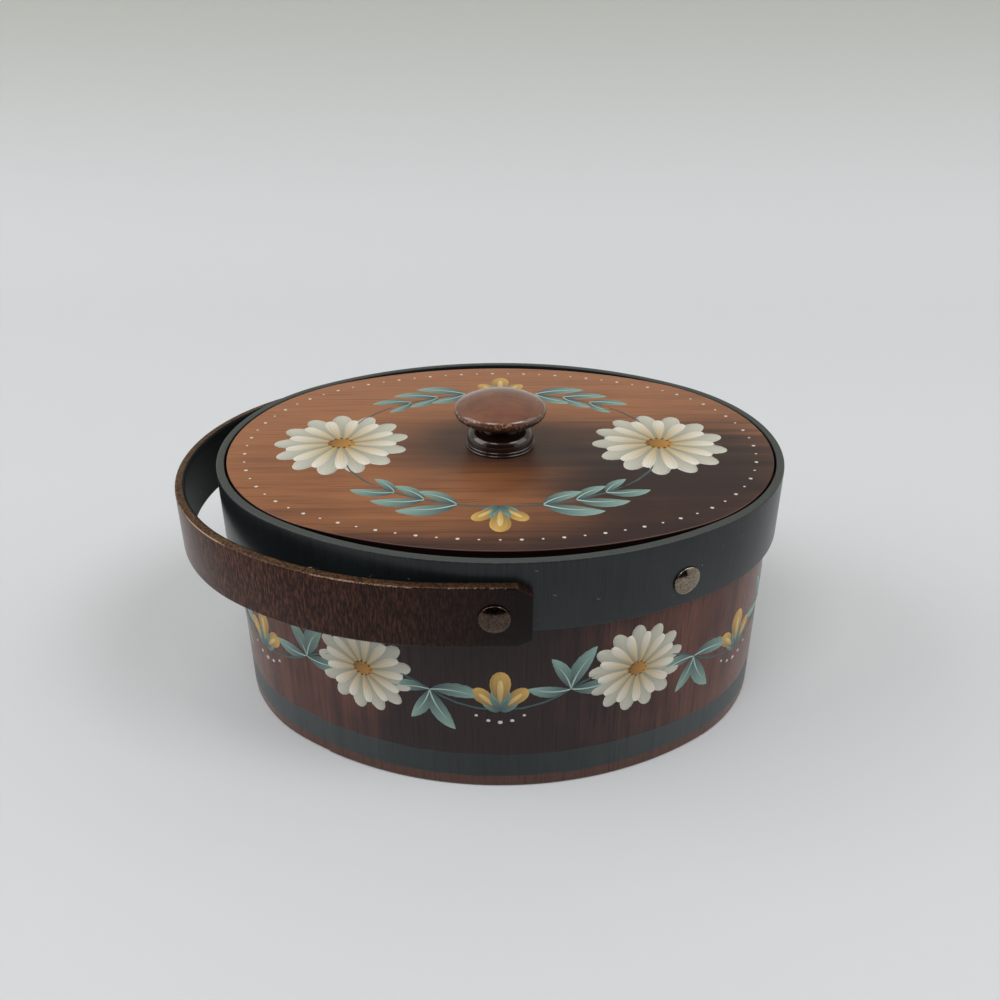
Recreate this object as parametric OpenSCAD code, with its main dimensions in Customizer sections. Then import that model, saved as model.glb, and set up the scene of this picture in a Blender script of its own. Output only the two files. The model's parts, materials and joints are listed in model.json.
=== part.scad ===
// Oval bentwood box with a drop-in lid and a bent handle that swings on two rivets.
// Millimetres, Z up, X along the length, origin under the middle of the base.

/* [Box] */
// Half of the rim band's outer length
half_length = 116; // [106:1:140]
// Half of the rim band's outer width
half_width = 91; // [76:1:98]
// Height from the table to the top of the rim band
box_height = 106; // [85:1:140]
// Thickness of the bent side
side_t = 4.6; // [3:0.1:6]
// Thickness of the bottom board
bottom_t = 6; // [4:0.5:10]

/* [Rim band] */
// Thickness of the rim band
band_t = 3.2; // [2:0.1:5]
// Height of the rim band
band_h = 29; // [26:0.5:40]

/* [Lid] */
// Thickness of the lid board
lid_t = 6; // [4:0.5:10]
// Gap between the lid and the band round each end
lid_end_gap = 0.9; // [0.5:0.1:2]
// Gap between the lid and the band in the middle of front and back, where the board has shrunk
lid_side_gap = 4.5; // [1:0.1:4.5]

/* [Knob] */
// Largest diameter of the knob's head
knob_d = 37.6; // [30:0.2:50]
// Height of the knob above the lid
knob_h = 22.6; // [20:0.2:34]
// Height of the head's widest line above the lid
knob_rim_z = 15.6; // [13:0.2:17]
// Radius of the head's rounded rim
knob_rim_r = 2.6; // [1.5:0.1:3.5]
// Diameter of the neck
neck_d = 16.4; // [12:0.2:18]
// Radius of the hollow where the neck meets the head
hollow_r = 2.6; // [1:0.1:3]
// Diameter of the foot across its lower bead
foot_d = 28.8; // [26:0.2:36]
// Height of the foot up to the top of its shoulder
foot_h = 7.8; // [7:0.1:8.5]
// Radius of the foot's round shoulder
shoulder_r = 4.6; // [3.5:0.1:5.2]
// Height of the two beads under the shoulder
beads_h = 2.4; // [1.6:0.2:3.2]
// Step inwards from the lower bead to the upper one, and from there to the shoulder
bead_step = 0.3; // [0.2:0.1:0.6]

/* [Knob screw] */
// Diameter of the screw's shank
screw_d = 4.2; // [3:0.1:5]
// Length of the screw from the underside of the lid
screw_l = 20; // [16:0.5:24]
// Diameter of the countersunk head
screw_head_d = 8.4; // [7:0.1:10]
// Width of the driver slot
slot_w = 1.2; // [0.8:0.1:1.6]
// Depth of the driver slot
slot_depth = 1; // [0.6:0.1:1.4]

/* [Handle] */
// Width of the handle strip
handle_w = 25.4; // [20:0.1:32]
// Thickness of the handle strip
handle_t = 4; // [2.5:0.1:5]
// Finger room between the lowered handle and the end of the box
finger_gap = 13.4; // [10:0.1:25]
// Straight run of each leg from the pivot towards the bend
handle_leg = 16; // [14:0.5:30]
// Length of each leg past its pivot
handle_tail = 13.2; // [10:0.2:20]
// Length of the chamfers on the corners of the leg ends, along the strip
chamfer_l = 6.2; // [2:0.2:8]
// Depth of those chamfers, across the strip
chamfer_w = 3.6; // [2:0.2:6]
// Place of the pivots along the box, from its middle
pivot_x = -2; // [-6:0.5:6]
// Play between the handle and the band, and between the handle and the rivet heads
handle_play = 0.3; // [0.2:0.05:0.6]

/* [Rivets] */
// Depth of the handle's rivets below the top of the rim band
pivot_drop = 20; // [16:0.5:22]
// Depth of the band's own rivets below the top of the rim band
band_rivet_drop = 18.5; // [16:0.5:22]
// Diameter of the rivet shanks
rivet_d = 4; // [3:0.1:5]
// Diameter of the rivet heads
rivet_head_d = 11.4; // [9:0.1:14]
// Thickness of a rivet head at its edge
rivet_edge_t = 0.6; // [0.4:0.1:1]
// Rise of a rivet head's dome above its edge
rivet_dome_h = 1.8; // [0.8:0.1:2.4]
// Diameter of the washers on the inside
burr_d = 9.6; // [8:0.1:12]
// Thickness of the washers on the inside
burr_t = 1; // [0.6:0.1:1.6]
// Diameter of the hammered tails
tail_head_d = 6.4; // [5:0.1:8]
// Height of the hammered tails
tail_head_h = 1.2; // [0.8:0.1:2]
// Turn of the band's rivets from the middle of a long side, about the side's own centre
band_rivet_turn = 28.5; // [20:0.5:34]

/* [Clearances] */
// Gap left for glue between wood and wood
glue_gap = 0.05; // [0.02:0.01:0.1]
// Radial clearance of the handle on its rivets
pivot_gap = 0.05; // [0.02:0.01:0.1]
// Radial clearance of the fixed rivets and of the screw in their holes
hole_gap = 0.05; // [0.02:0.01:0.1]
// Gap between a flat rivet head or washer and the curved wood at its nearest point
seat_gap = 0.02; // [0.01:0.01:0.05]

/* [Hidden] */
$fn = 96;

front = -1;
back = 1;
left = -1;
right = 1;
// How far a cutting shape runs past what it cuts
overrun = 1;

// The box's ovals are four arcs whose centres are the corners of 3-4-5 triangles of this size
function triangle_size(a, b) = (a - b) / 2;
function end_centre(a, b) = 3 * triangle_size(a, b);
function side_centre(a, b) = 4 * triangle_size(a, b);
function side_radius(a, b) = b + side_centre(a, b);
// Distance from the middle of the oval to its long side, at x along the oval
function side_at(a, b, x) = sqrt(pow(side_radius(a, b), 2) - x * x) - side_centre(a, b);

band_in = band_t;
side_out = band_in + glue_gap;
side_in = side_out + side_t;
board_out = side_in + glue_gap;
side_h = box_height - lid_t;
band_z = box_height - band_h;
pivot_z = box_height - pivot_drop;
band_rivet_z = box_height - band_rivet_drop;
lid_half_length = half_length - band_in - lid_end_gap;
lid_half_width = half_width - band_in - lid_side_gap;
// The lid's round ends keep the centres of the band's ends
lid_end_x = end_centre(half_length, half_width);

// The centre of the front long side's arc lies behind the middle of the box
arc_centre = side_centre(half_length, half_width);
band_radius = side_radius(half_length, half_width);
burr_reach = burr_d / 2;
band_seat = sqrt(pow(band_radius - side_in, 2) - pow(burr_reach, 2)) - seat_gap;
pivot_seat = side_at(half_length - side_in, half_width - side_in, abs(pivot_x) + burr_reach) - seat_gap;
band_grip = band_radius + seat_gap - band_seat;

handle_in = half_width + handle_play;
handle_out = handle_in + handle_t;
handle_reach = half_length + finger_gap + pivot_x;
pivot_grip = handle_out + handle_play - pivot_seat;

screw_head_h = (screw_head_d - screw_d) / 2;
screw_tip_h = screw_d;

// Two round ends whose centres lie end_x from the middle, joined by two flatter arcs
module four_arcs(a, b, end_x) {
    end_r = a - end_x;
    side_r = (end_x * end_x + b * b - end_r * end_r) / (2 * (b - end_r));
    tangent_x = side_r * end_x / (side_r - end_r);
    intersection() {
        translate([0, b - side_r]) circle(side_r);
        translate([0, side_r - b]) circle(side_r);
        square([2 * tangent_x, 2 * side_r], center = true);
    }
    for (end = [left, right])
        translate([end * end_x, 0]) circle(end_r);
}

module oval(a, b) {
    if (a == b)
        circle(a);
    else if (a > b)
        four_arcs(a, b, end_centre(a, b));
    else
        rotate(90) four_arcs(b, a, end_centre(b, a));
}

// An oval that lies a distance inside the rim band's outer face
module box_oval(inset) {
    oval(half_length - inset, half_width - inset);
}

// Places a shape that was drawn for the front on the front or the back
module facing(face) {
    if (face == front)
        children();
    else
        mirror([0, 1, 0]) children();
}

// Puts the origin on the inside of a long side at the pivot, with Z pointing out of the box
module at_pivot(face) {
    facing(face)
        translate([pivot_x, -pivot_seat, pivot_z])
            rotate([90, 0, 0]) children();
}

// Puts the origin on the inside of a long side at a band rivet, with Z pointing out of the box
module at_band_rivet(face, hand) {
    facing(face)
        translate([0, arc_centre, band_rivet_z])
            rotate([0, 0, hand * band_rivet_turn])
                translate([0, -band_seat, 0])
                    rotate([90, 0, 0]) children();
}

module rivet_hole(grip) {
    translate([0, 0, -overrun])
        cylinder(d = rivet_d + 2 * hole_gap, h = grip + 2 * overrun);
}

// The holes through the band and the side for every rivet
module rivet_holes() {
    for (face = [front, back]) {
        at_pivot(face) rivet_hole(pivot_grip);
        for (hand = [left, right])
            at_band_rivet(face, hand) rivet_hole(band_grip);
    }
}

// A domed rivet whose hammered tail holds a washer against the inside of the box
module rivet(grip) {
    edge_r = rivet_head_d / 2;
    dome_r = (edge_r * edge_r + rivet_dome_h * rivet_dome_h) / (2 * rivet_dome_h);
    color("#6e6453") {
        translate([0, 0, grip]) rotate_extrude() {
            square([edge_r, rivet_edge_t]);
            intersection() {
                translate([0, rivet_edge_t + rivet_dome_h - dome_r]) circle(dome_r);
                translate([0, rivet_edge_t / 2]) square([edge_r, rivet_edge_t + rivet_dome_h]);
            }
        }
        translate([0, 0, -burr_t]) cylinder(d = rivet_d, h = grip + burr_t);
        translate([0, 0, -burr_t - tail_head_h]) cylinder(d = tail_head_d, h = tail_head_h);
    }
}

module burr() {
    color("#8a7a55") translate([0, 0, -burr_t]) difference() {
        cylinder(d = burr_d, h = burr_t);
        translate([0, 0, -overrun])
            cylinder(d = rivet_d + 2 * hole_gap, h = burr_t + 2 * overrun);
    }
}

module body_side() {
    color("#5c3f35") difference() {
        linear_extrude(side_h) difference() {
            box_oval(side_out);
            box_oval(side_in);
        }
        rivet_holes();
    }
}

module bottom_board() {
    color("#6b4236") linear_extrude(bottom_t) box_oval(board_out);
}

module rim_band() {
    color("#3c4043") difference() {
        translate([0, 0, band_z]) linear_extrude(band_h) difference() {
            box_oval(0);
            box_oval(band_in);
        }
        rivet_holes();
    }
}

// The plan of the handle, with the pivot at the origin: a half oval and two straight legs
module handle_plan(reach, half_span, tail) {
    bend_length = reach - handle_leg;
    translate([-handle_leg, 0]) intersection() {
        oval(bend_length, half_span);
        translate([-bend_length, -half_span]) square([bend_length, 2 * half_span]);
    }
    translate([-handle_leg, -half_span]) square([handle_leg + tail, 2 * half_span]);
}

// A prism across both legs that takes off one corner of their ends
module tail_corner(edge) {
    half_w = handle_w / 2;
    past_w = overrun;
    past_l = overrun * chamfer_l / chamfer_w;
    rotate([90, 0, 0]) linear_extrude(2 * (handle_out + overrun), center = true)
        polygon([
            [handle_tail - chamfer_l - past_l, edge * (half_w + past_w)],
            [handle_tail + past_l, edge * (half_w - chamfer_w - past_w)],
            [handle_tail + past_l, edge * (half_w + past_w)],
        ]);
}

module handle() {
    color("#4a332c") translate([pivot_x, 0, pivot_z]) difference() {
        translate([0, 0, -handle_w / 2]) linear_extrude(handle_w) difference() {
            handle_plan(handle_reach + handle_t, handle_out, handle_tail);
            handle_plan(handle_reach, handle_in, handle_tail + overrun);
        }
        for (edge = [-1, 1])
            tail_corner(edge);
        rotate([90, 0, 0])
            cylinder(d = rivet_d + 2 * pivot_gap, h = 2 * (handle_out + overrun), center = true);
    }
}

module lid_board() {
    color("#8a5a40") translate([0, 0, side_h]) difference() {
        linear_extrude(lid_t) four_arcs(lid_half_length, lid_half_width, lid_end_x);
        translate([0, 0, -overrun]) cylinder(d = screw_d + 2 * hole_gap, h = lid_t + 2 * overrun);
        cylinder(d1 = screw_head_d + 2 * hole_gap, d2 = screw_d + 2 * hole_gap, h = screw_head_h);
    }
}

// Half of the knob's section: two beads, a round shoulder, a neck and a domed head with a round rim
module knob_section() {
    bead_r = beads_h / 4;
    bead_x = foot_d / 2 - bead_r;
    shoulder_x = foot_d / 2 - 2 * bead_step - shoulder_r;
    hollow_x = neck_d / 2 + hollow_r;
    under_head = knob_rim_z - knob_rim_r;
    rim_x = knob_d / 2 - knob_rim_r;
    dome_h = knob_h - knob_rim_z;
    dome_r = (rim_x * rim_x + dome_h * dome_h - knob_rim_r * knob_rim_r) / (2 * (dome_h - knob_rim_r));
    dome_z = knob_h - dome_r;
    wedge = 2 * dome_r / (dome_r - knob_rim_r);
    square([bead_x - bead_step, beads_h]);
    square([bead_x, 2 * bead_r]);
    translate([bead_x, bead_r]) circle(bead_r);
    translate([bead_x - bead_step, 3 * bead_r]) circle(bead_r);
    translate([shoulder_x, foot_h - shoulder_r]) circle(shoulder_r);
    square([shoulder_x, foot_h]);
    square([neck_d / 2, knob_rim_z]);
    translate([0, under_head - hollow_r]) difference() {
        square([hollow_x, hollow_r + knob_rim_r]);
        translate([hollow_x, 0]) circle(hollow_r);
    }
    translate([0, under_head]) square([rim_x, knob_rim_r]);
    translate([rim_x, knob_rim_z]) circle(knob_rim_r);
    intersection() {
        translate([0, dome_z]) circle(dome_r);
        polygon([
            [0, dome_z],
            [wedge * rim_x, dome_z + wedge * (knob_rim_z - dome_z)],
            [0, dome_z + 2 * dome_r],
        ]);
        translate([0, under_head]) square([knob_d, knob_h]);
    }
}

module knob() {
    color("#7c5a48") translate([0, 0, box_height]) difference() {
        rotate_extrude() intersection() {
            knob_section();
            square([knob_d, knob_h]);
        }
        translate([0, 0, -overrun])
            cylinder(d = screw_d + 2 * hole_gap, h = screw_l - lid_t + hole_gap + overrun);
    }
}

module knob_screw() {
    color("#9a9688") translate([0, 0, side_h]) difference() {
        union() {
            cylinder(d1 = screw_head_d, d2 = screw_d, h = screw_head_h);
            cylinder(d = screw_d, h = screw_l - screw_tip_h);
            translate([0, 0, screw_l - screw_tip_h]) cylinder(d1 = screw_d, d2 = screw_d / 4, h = screw_tip_h);
        }
        cube([screw_head_d + 2 * overrun, slot_w, 2 * slot_depth], center = true);
    }
}

body_side();
bottom_board();
rim_band();
at_pivot(front) rivet(pivot_grip);  // front_pivot_rivet
at_pivot(back) rivet(pivot_grip);  // back_pivot_rivet
at_pivot(front) burr();  // front_pivot_burr
at_pivot(back) burr();  // back_pivot_burr
at_band_rivet(front, left) rivet(band_grip);  // front_left_band_rivet
at_band_rivet(front, right) rivet(band_grip);  // front_right_band_rivet
at_band_rivet(back, left) rivet(band_grip);  // back_left_band_rivet
at_band_rivet(back, right) rivet(band_grip);  // back_right_band_rivet
at_band_rivet(front, left) burr();  // front_left_band_burr
at_band_rivet(front, right) burr();  // front_right_band_burr
at_band_rivet(back, left) burr();  // back_left_band_burr
at_band_rivet(back, right) burr();  // back_right_band_burr
handle();
lid_board();
knob();
knob_screw();
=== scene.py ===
"""Looks of an oval bentwood box with a drop-in lid, a turned knob and a swing handle.

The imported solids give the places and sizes, and this script models and dresses what shows.
Lengths are in metres, and sizes are written in millimetres times MM.
"""

import json
import logging
import math
from collections.abc import Sequence
from dataclasses import dataclass, replace
from enum import Enum
from typing import NamedTuple, Protocol

import bmesh
import bpy
from bmesh.types import BMEdge, BMesh, BMFace, BMLayerItem, BMVert
from bpy.types import Material, NodeSocket, Object, ShaderNode, World
from mathutils import Matrix, Vector


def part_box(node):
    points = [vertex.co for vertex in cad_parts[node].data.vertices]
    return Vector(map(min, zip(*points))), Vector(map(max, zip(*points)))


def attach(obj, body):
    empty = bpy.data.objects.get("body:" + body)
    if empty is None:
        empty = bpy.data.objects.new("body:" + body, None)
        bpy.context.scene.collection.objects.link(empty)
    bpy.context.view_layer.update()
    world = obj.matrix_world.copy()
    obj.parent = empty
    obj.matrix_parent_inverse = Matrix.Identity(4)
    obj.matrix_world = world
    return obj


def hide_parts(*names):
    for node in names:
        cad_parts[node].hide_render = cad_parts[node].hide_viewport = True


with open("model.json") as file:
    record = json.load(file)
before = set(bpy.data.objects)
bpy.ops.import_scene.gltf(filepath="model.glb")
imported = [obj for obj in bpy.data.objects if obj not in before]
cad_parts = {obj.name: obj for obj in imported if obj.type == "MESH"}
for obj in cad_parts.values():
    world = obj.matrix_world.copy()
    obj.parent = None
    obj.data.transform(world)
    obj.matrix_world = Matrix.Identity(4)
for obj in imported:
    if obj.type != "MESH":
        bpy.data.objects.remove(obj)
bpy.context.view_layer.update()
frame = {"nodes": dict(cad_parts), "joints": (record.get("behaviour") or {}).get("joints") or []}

MM = 0.001
UP = Vector((0, 0, 1))
# Axis about which an arc in the XZ plane turns from +X towards +Z
SECTION_AXIS = Vector((0, -1, 0))
# Vertices closer together than this become one
WELD = 0.002 * MM
# Longest edge along a swept curve
SWEEP_STEP = 2 * MM
# Steps in a rounded edge
ROUND_STEPS = 5
# A crease sharper than this stays sharp in the shading
CREASE = math.radians(38)
# Vertices and edges of a loop
EdgeLoop = list[BMVert | BMEdge]
LOG = logging.getLogger("bentwood_box")


class Body(Enum):
    """The moving bodies that pieces ride on."""

    BOX = "box"
    HANDLE = "handle"
    LID = "lid"


class GrainRun(Enum):
    """Direction in which a board's grain runs."""

    LENGTHWISE = "along the box"
    UPRIGHT = "up the box"

    def spread(self, along: float, across: float) -> Vector:
        """Gives the size of streaks of one length and width.

        Args:
            along: length of a streak.
            across: width of a streak.

        Returns:
            Size of a streak on X, Y and Z.
        """
        if self is GrainRun.LENGTHWISE:
            return Vector((along, across, across))
        return Vector((across, across, along))


def toward(angle: float) -> Vector:
    """Gives the direction in plan at an angle, anticlockwise from +X."""
    return Vector((math.cos(angle), math.sin(angle)))


@dataclass(frozen=True)
class Turn:
    """One arc of an oval, seen in plan.

    Attributes:
        centre: middle of the arc's circle.
        radius: radius of the arc.
        start: angle at which the arc begins, anticlockwise from +X.
        sweep: angle that the arc covers.
    """

    centre: Vector
    radius: float
    start: float
    sweep: float

    @property
    def length(self) -> float:
        """Length of the arc."""
        return self.radius * self.sweep

    @property
    def steps(self) -> int:
        """Number of edges that the arc is drawn with."""
        return math.ceil(self.length / SWEEP_STEP)


@dataclass(frozen=True)
class Oval:
    """A plan of two round ends that are joined by two flatter arcs.

    Attributes:
        half_length: half of the oval's size along X.
        half_width: half of the oval's size along Y.
        end_x: distance of the round ends' centres from the middle.
    """

    half_length: float
    half_width: float
    end_x: float

    @classmethod
    def of_triangles(cls, half_length: float, half_width: float) -> "Oval":
        """Gives the oval whose centres are the corners of 3-4-5 triangles."""
        return cls(half_length, half_width, 3 * (half_length - half_width) / 2)

    @property
    def end_radius(self) -> float:
        """Radius of the round ends."""
        return self.half_length - self.end_x

    @property
    def side_radius(self) -> float:
        """Radius of the flatter arcs."""
        flatter = self.half_width - self.end_radius
        return (self.end_x**2 + self.half_width**2 - self.end_radius**2) / (2 * flatter)

    @property
    def side_y(self) -> float:
        """Distance of the flatter arcs' centres from the middle."""
        return self.side_radius - self.half_width

    @property
    def perimeter(self) -> float:
        """Length once round the oval."""
        return sum(turn.length for turn in self.turns())

    def inset(self, depth: float) -> "Oval":
        """Gives the oval that lies a distance inside this one."""
        return Oval(self.half_length - depth, self.half_width - depth, self.end_x)

    def turns(self) -> list[Turn]:
        """Lays out the oval's arcs.

        Returns:
            The arcs, anticlockwise from the middle of the front.
        """
        end = math.atan2(self.side_y, self.end_x)
        side = math.pi / 2 - end
        along = Vector((self.end_x, 0, 0))
        across = Vector((0, self.side_y, 0))
        return [
            Turn(across, self.side_radius, -math.pi / 2, side),
            Turn(along, self.end_radius, -end, 2 * end),
            Turn(-across, self.side_radius, end, 2 * side),
            Turn(-along, self.end_radius, math.pi - end, 2 * end),
            Turn(across, self.side_radius, 3 * math.pi / 2 - side, side),
        ]

    def depth(self, point: Vector) -> float:
        """Measures how far a point lies inside the oval.

        Args:
            point: a place in plan; its height doesn't matter.

        Returns:
            Distance square to the oval, negative outside it.
        """
        x, y = abs(point.x), abs(point.y)
        from_end = Vector((x - self.end_x, y))
        if self.end_x * from_end.y <= self.side_y * from_end.x:
            return self.end_radius - from_end.length
        return self.side_radius - Vector((x, y + self.side_y)).length

    def at(self, distance: float) -> tuple[Vector, Vector]:
        """Finds a place along the oval.

        Args:
            distance: length along the oval, anticlockwise from the middle of the front.

        Returns:
            The point and the direction straight out of the oval there.
        """
        left = distance % self.perimeter
        for turn in self.turns():
            if left <= turn.length:
                break
            left -= turn.length
        angle = turn.start + left / turn.radius
        out = toward(angle).to_3d()
        return turn.centre + turn.radius * out, out


class ProfilePen:
    """Draws a line of edges in a bmesh from straight runs and arcs."""

    def __init__(self, mesh: BMesh, start: Vector) -> None:
        """Puts the pen down.

        Args:
            mesh: the bmesh to draw in.
            start: first point of the line.
        """
        self.mesh = mesh
        self.tip = mesh.verts.new(start)

    def line_to(self, point: Vector) -> None:
        """Draws a straight edge.

        Args:
            point: where the edge ends.
        """
        made = bmesh.ops.extrude_vert_indiv(self.mesh, verts=[self.tip])
        self.tip = made["verts"][0]
        self.tip.co = point

    def arc(self, centre: Vector, angle: float, steps: int, axis: Vector = SECTION_AXIS) -> None:
        """Draws an arc from the pen's tip.

        Args:
            centre: middle of the arc's circle.
            angle: angle to turn through, positive about the axis.
            steps: edges in the arc.
            axis: axis to turn about.
        """
        made = bmesh.ops.spin(
            self.mesh, geom=[self.tip], cent=centre, axis=axis, angle=angle, steps=steps
        )
        self.tip = next(part for part in made["geom_last"] if isinstance(part, BMVert))


@dataclass(frozen=True)
class Section:
    """An upright rectangular section with rounded corners, drawn in the XZ plane.

    Attributes:
        near: X of the inner face.
        far: X of the outer face.
        low: Z of the lower edge.
        high: Z of the upper edge.
        rounds: corner radii, from the outer lower corner anticlockwise.
    """

    near: float
    far: float
    low: float
    high: float
    rounds: tuple[float, float, float, float]

    def draw(self, mesh: BMesh) -> None:
        """Draws the closed section.

        Args:
            mesh: the bmesh to draw in.
        """
        corners = [
            (self.far, self.low, Vector((-1, 0, 1)), Vector((-1, 0, 0))),
            (self.far, self.high, Vector((-1, 0, -1)), Vector((0, 0, -1))),
            (self.near, self.high, Vector((1, 0, -1)), Vector((1, 0, 0))),
            (self.near, self.low, Vector((1, 0, 1)), Vector((0, 0, 1))),
        ]
        pen = ProfilePen(mesh, Vector((self.near + self.rounds[-1], 0, self.low)))
        for (x, z, inwards, before), radius in zip(corners, self.rounds):
            corner = Vector((x, 0, z))
            pen.line_to(corner + radius * before)
            pen.arc(corner + radius * inwards, math.pi / 2, ROUND_STEPS)
        weld(mesh)


@dataclass(frozen=True)
class Piece:
    """What the finished model says of a piece.

    Attributes:
        name: name of the piece.
        body: body that it rides on.
        slot: material slot of the record, or an empty string; not used.
        replaces: solids that the piece stands for.
    """

    name: str
    body: Body
    slot: str = ""
    replaces: tuple[str, ...] = ()

    def publish(self, mesh: BMesh, materials: Sequence[Material]) -> None:
        """Turns a bmesh into the finished piece, riding on its body.

        Args:
            mesh: the modelled shape, which is freed.
            materials: finishes in the order of the faces' material numbers.
        """
        piece = link_mesh(self.name, mesh, materials)
        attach(piece, self.body.value)
        if self.replaces:
            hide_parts(*self.replaces)
        LOG.info("%s: %d faces on %s", self.name, len(piece.data.polygons), self.body.value)


def link_mesh(name: str, mesh: BMesh, materials: Sequence[Material]) -> Object:
    """Turns a bmesh into an object of the scene, smooth but for its creases.

    Args:
        name: name of the object.
        mesh: the modelled shape, which is freed.
        materials: finishes in the order of the faces' material numbers.

    Returns:
        The new object.
    """
    data = bpy.data.meshes.new(name)
    mesh.to_mesh(data)
    mesh.free()
    data.shade_smooth()
    data.set_sharp_from_angle(angle=CREASE)
    for material in materials:
        data.materials.append(material)
    made = bpy.data.objects.new(name, data)
    bpy.context.scene.collection.objects.link(made)
    return made


def weld(mesh: BMesh) -> None:
    """Merges the vertices that lie on one another."""
    bmesh.ops.remove_doubles(mesh, verts=mesh.verts[:], dist=WELD)


def face_out(mesh: BMesh) -> None:
    """Closes a swept mesh's seams and points its faces outwards."""
    weld(mesh)
    bmesh.ops.recalc_face_normals(mesh, faces=mesh.faces[:])


def to_front(mesh: BMesh) -> None:
    """Turns what was drawn along +X to the front of the box."""
    bmesh.ops.rotate(mesh, verts=mesh.verts[:], matrix=Matrix.Rotation(-math.pi / 2, 3, "Z"))


def carry_round(mesh: BMesh, edge: EdgeLoop, turn: Turn, axis: Vector) -> EdgeLoop:
    """Sweeps a loop of edges round an arc.

    Args:
        mesh: the bmesh that holds the loop.
        edge: vertices and edges of the loop.
        turn: the arc.
        axis: axis to turn about.

    Returns:
        Vertices and edges of the loop at the arc's far end.
    """
    made = bmesh.ops.spin(
        mesh, geom=edge, cent=turn.centre, axis=axis, angle=turn.sweep, steps=turn.steps
    )
    return made["geom_last"]


def sweep_ring(section: Section, oval: Oval) -> BMesh:
    """Sweeps a section once round an oval.

    Args:
        section: the section, with X measured across the oval's front.
        oval: the plan whose arcs it follows.

    Returns:
        The closed ring.
    """
    mesh = bmesh.new()
    section.draw(mesh)
    to_front(mesh)
    edge = [*mesh.verts, *mesh.edges]
    for turn in oval.turns():
        edge = carry_round(mesh, edge, turn, UP)
    face_out(mesh)
    return mesh


def cut_board(oval: Oval, low: float, high: float, rounds: float) -> BMesh:
    """Cuts an oval board with rounded edges.

    Args:
        oval: plan of the board.
        low: height of its underside.
        high: height of its top.
        rounds: radius of its edges.

    Returns:
        The closed board.
    """
    mesh = bmesh.new()
    pen = ProfilePen(mesh, Vector((0, -oval.half_width, low)))
    for turn in oval.turns():
        pen.arc(turn.centre + low * UP, turn.sweep, turn.steps, UP)
    weld(mesh)
    floor = bmesh.ops.contextual_create(mesh, geom=mesh.edges[:])["faces"]
    raised = bmesh.ops.extrude_face_region(mesh, geom=floor, use_keep_orig=True)["geom"]
    top = [part for part in raised if isinstance(part, BMVert)]
    bmesh.ops.translate(mesh, verts=top, vec=(high - low) * UP)
    rims = [edge for edge in mesh.edges if abs(edge.verts[0].co.z - edge.verts[1].co.z) < WELD]
    bmesh.ops.bevel(
        mesh, geom=rims, offset=rounds, affect="EDGES", segments=ROUND_STEPS, profile=0.5, material=-1
    )
    face_out(mesh)
    return mesh


def turn_on_lathe(mesh: BMesh, steps: int) -> None:
    """Spins a section once round Z and closes it.

    Args:
        mesh: the bmesh that holds the section.
        steps: faces once round.
    """
    bmesh.ops.spin(
        mesh,
        geom=[*mesh.verts, *mesh.edges],
        cent=(0, 0, 0),
        axis=UP,
        angle=2 * math.pi,
        steps=steps,
        use_merge=True,
    )
    face_out(mesh)


def handle_pivot() -> Vector:
    """Gives the middle of the axis that the handle swings about."""
    joint = next(joint for joint in frame["joints"] if joint["name"] == "handle_swing")
    return Vector(joint["pos_m"])


def lid_plan() -> Oval:
    """Gives the lid's plan, whose round ends share their centres with the band's."""
    band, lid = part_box("rim_band")[1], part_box("lid_board")[1]
    return Oval(lid.x, lid.y, Oval.of_triangles(band.x, band.y).end_x)


def linear(hex_colour: str) -> tuple[float, float, float, float]:
    """Turns an sRGB hex colour into linear light.

    Args:
        hex_colour: a hash sign and six hex digits.

    Returns:
        Red, green, blue and alpha.
    """
    shares = [int(hex_colour[start : start + 2], 16) / 255 for start in (1, 3, 5)]
    light = [s / 12.92 if s <= 0.04045 else ((s + 0.055) / 1.055) ** 2.4 for s in shares]
    return (*light, 1.0)


class Kind(NamedTuple):
    """A kind of node.

    Attributes:
        name: Blender's name for it.
        settings: values for the node's own properties.
    """

    name: str
    settings: dict = {}


# Kinds of nodes that the finishes use again and again, and the sockets of the one that lays a coat
BUMP = Kind("ShaderNodeBump")
DENT = Kind("ShaderNodeBump", {"invert": True})
COORDINATES = Kind("ShaderNodeTexCoord")
SPLIT = Kind("ShaderNodeSeparateXYZ")
MAPPING = Kind("ShaderNodeMapping")
MEASURE = Kind("ShaderNodeMapping", {"vector_type": "TEXTURE"})
NOISE = Kind("ShaderNodeTexNoise")
RAMP = Kind("ShaderNodeMapRange")
EASE = Kind("ShaderNodeMapRange", {"interpolation_type": "SMOOTHSTEP"})
PLUS = Kind("ShaderNodeMath", {"operation": "ADD"})
TIMES = Kind("ShaderNodeMath", {"operation": "MULTIPLY"})
TIMES_PLUS = Kind("ShaderNodeMath", {"operation": "MULTIPLY_ADD"})
UNSIGNED = Kind("ShaderNodeMath", {"operation": "ABSOLUTE"})
LARGER = Kind("ShaderNodeMath", {"operation": "MAXIMUM"})
WITHIN = Kind("ShaderNodeMath", {"operation": "COMPARE"})
LENGTH = Kind("ShaderNodeVectorMath", {"operation": "LENGTH"})
ALONG = Kind("ShaderNodeVectorMath", {"operation": "DOT_PRODUCT"})
SCALED = Kind("ShaderNodeVectorMath", {"operation": "SCALE"})
COAT = Kind("ShaderNodeMix", {"data_type": "RGBA"})
COVER, UNDER, OVER = 0, 6, 7
# Levels of a streaky pattern between which a pore opens
PORE_OPENS = {"From Min": 0.5, "From Max": 0.72}


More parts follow.
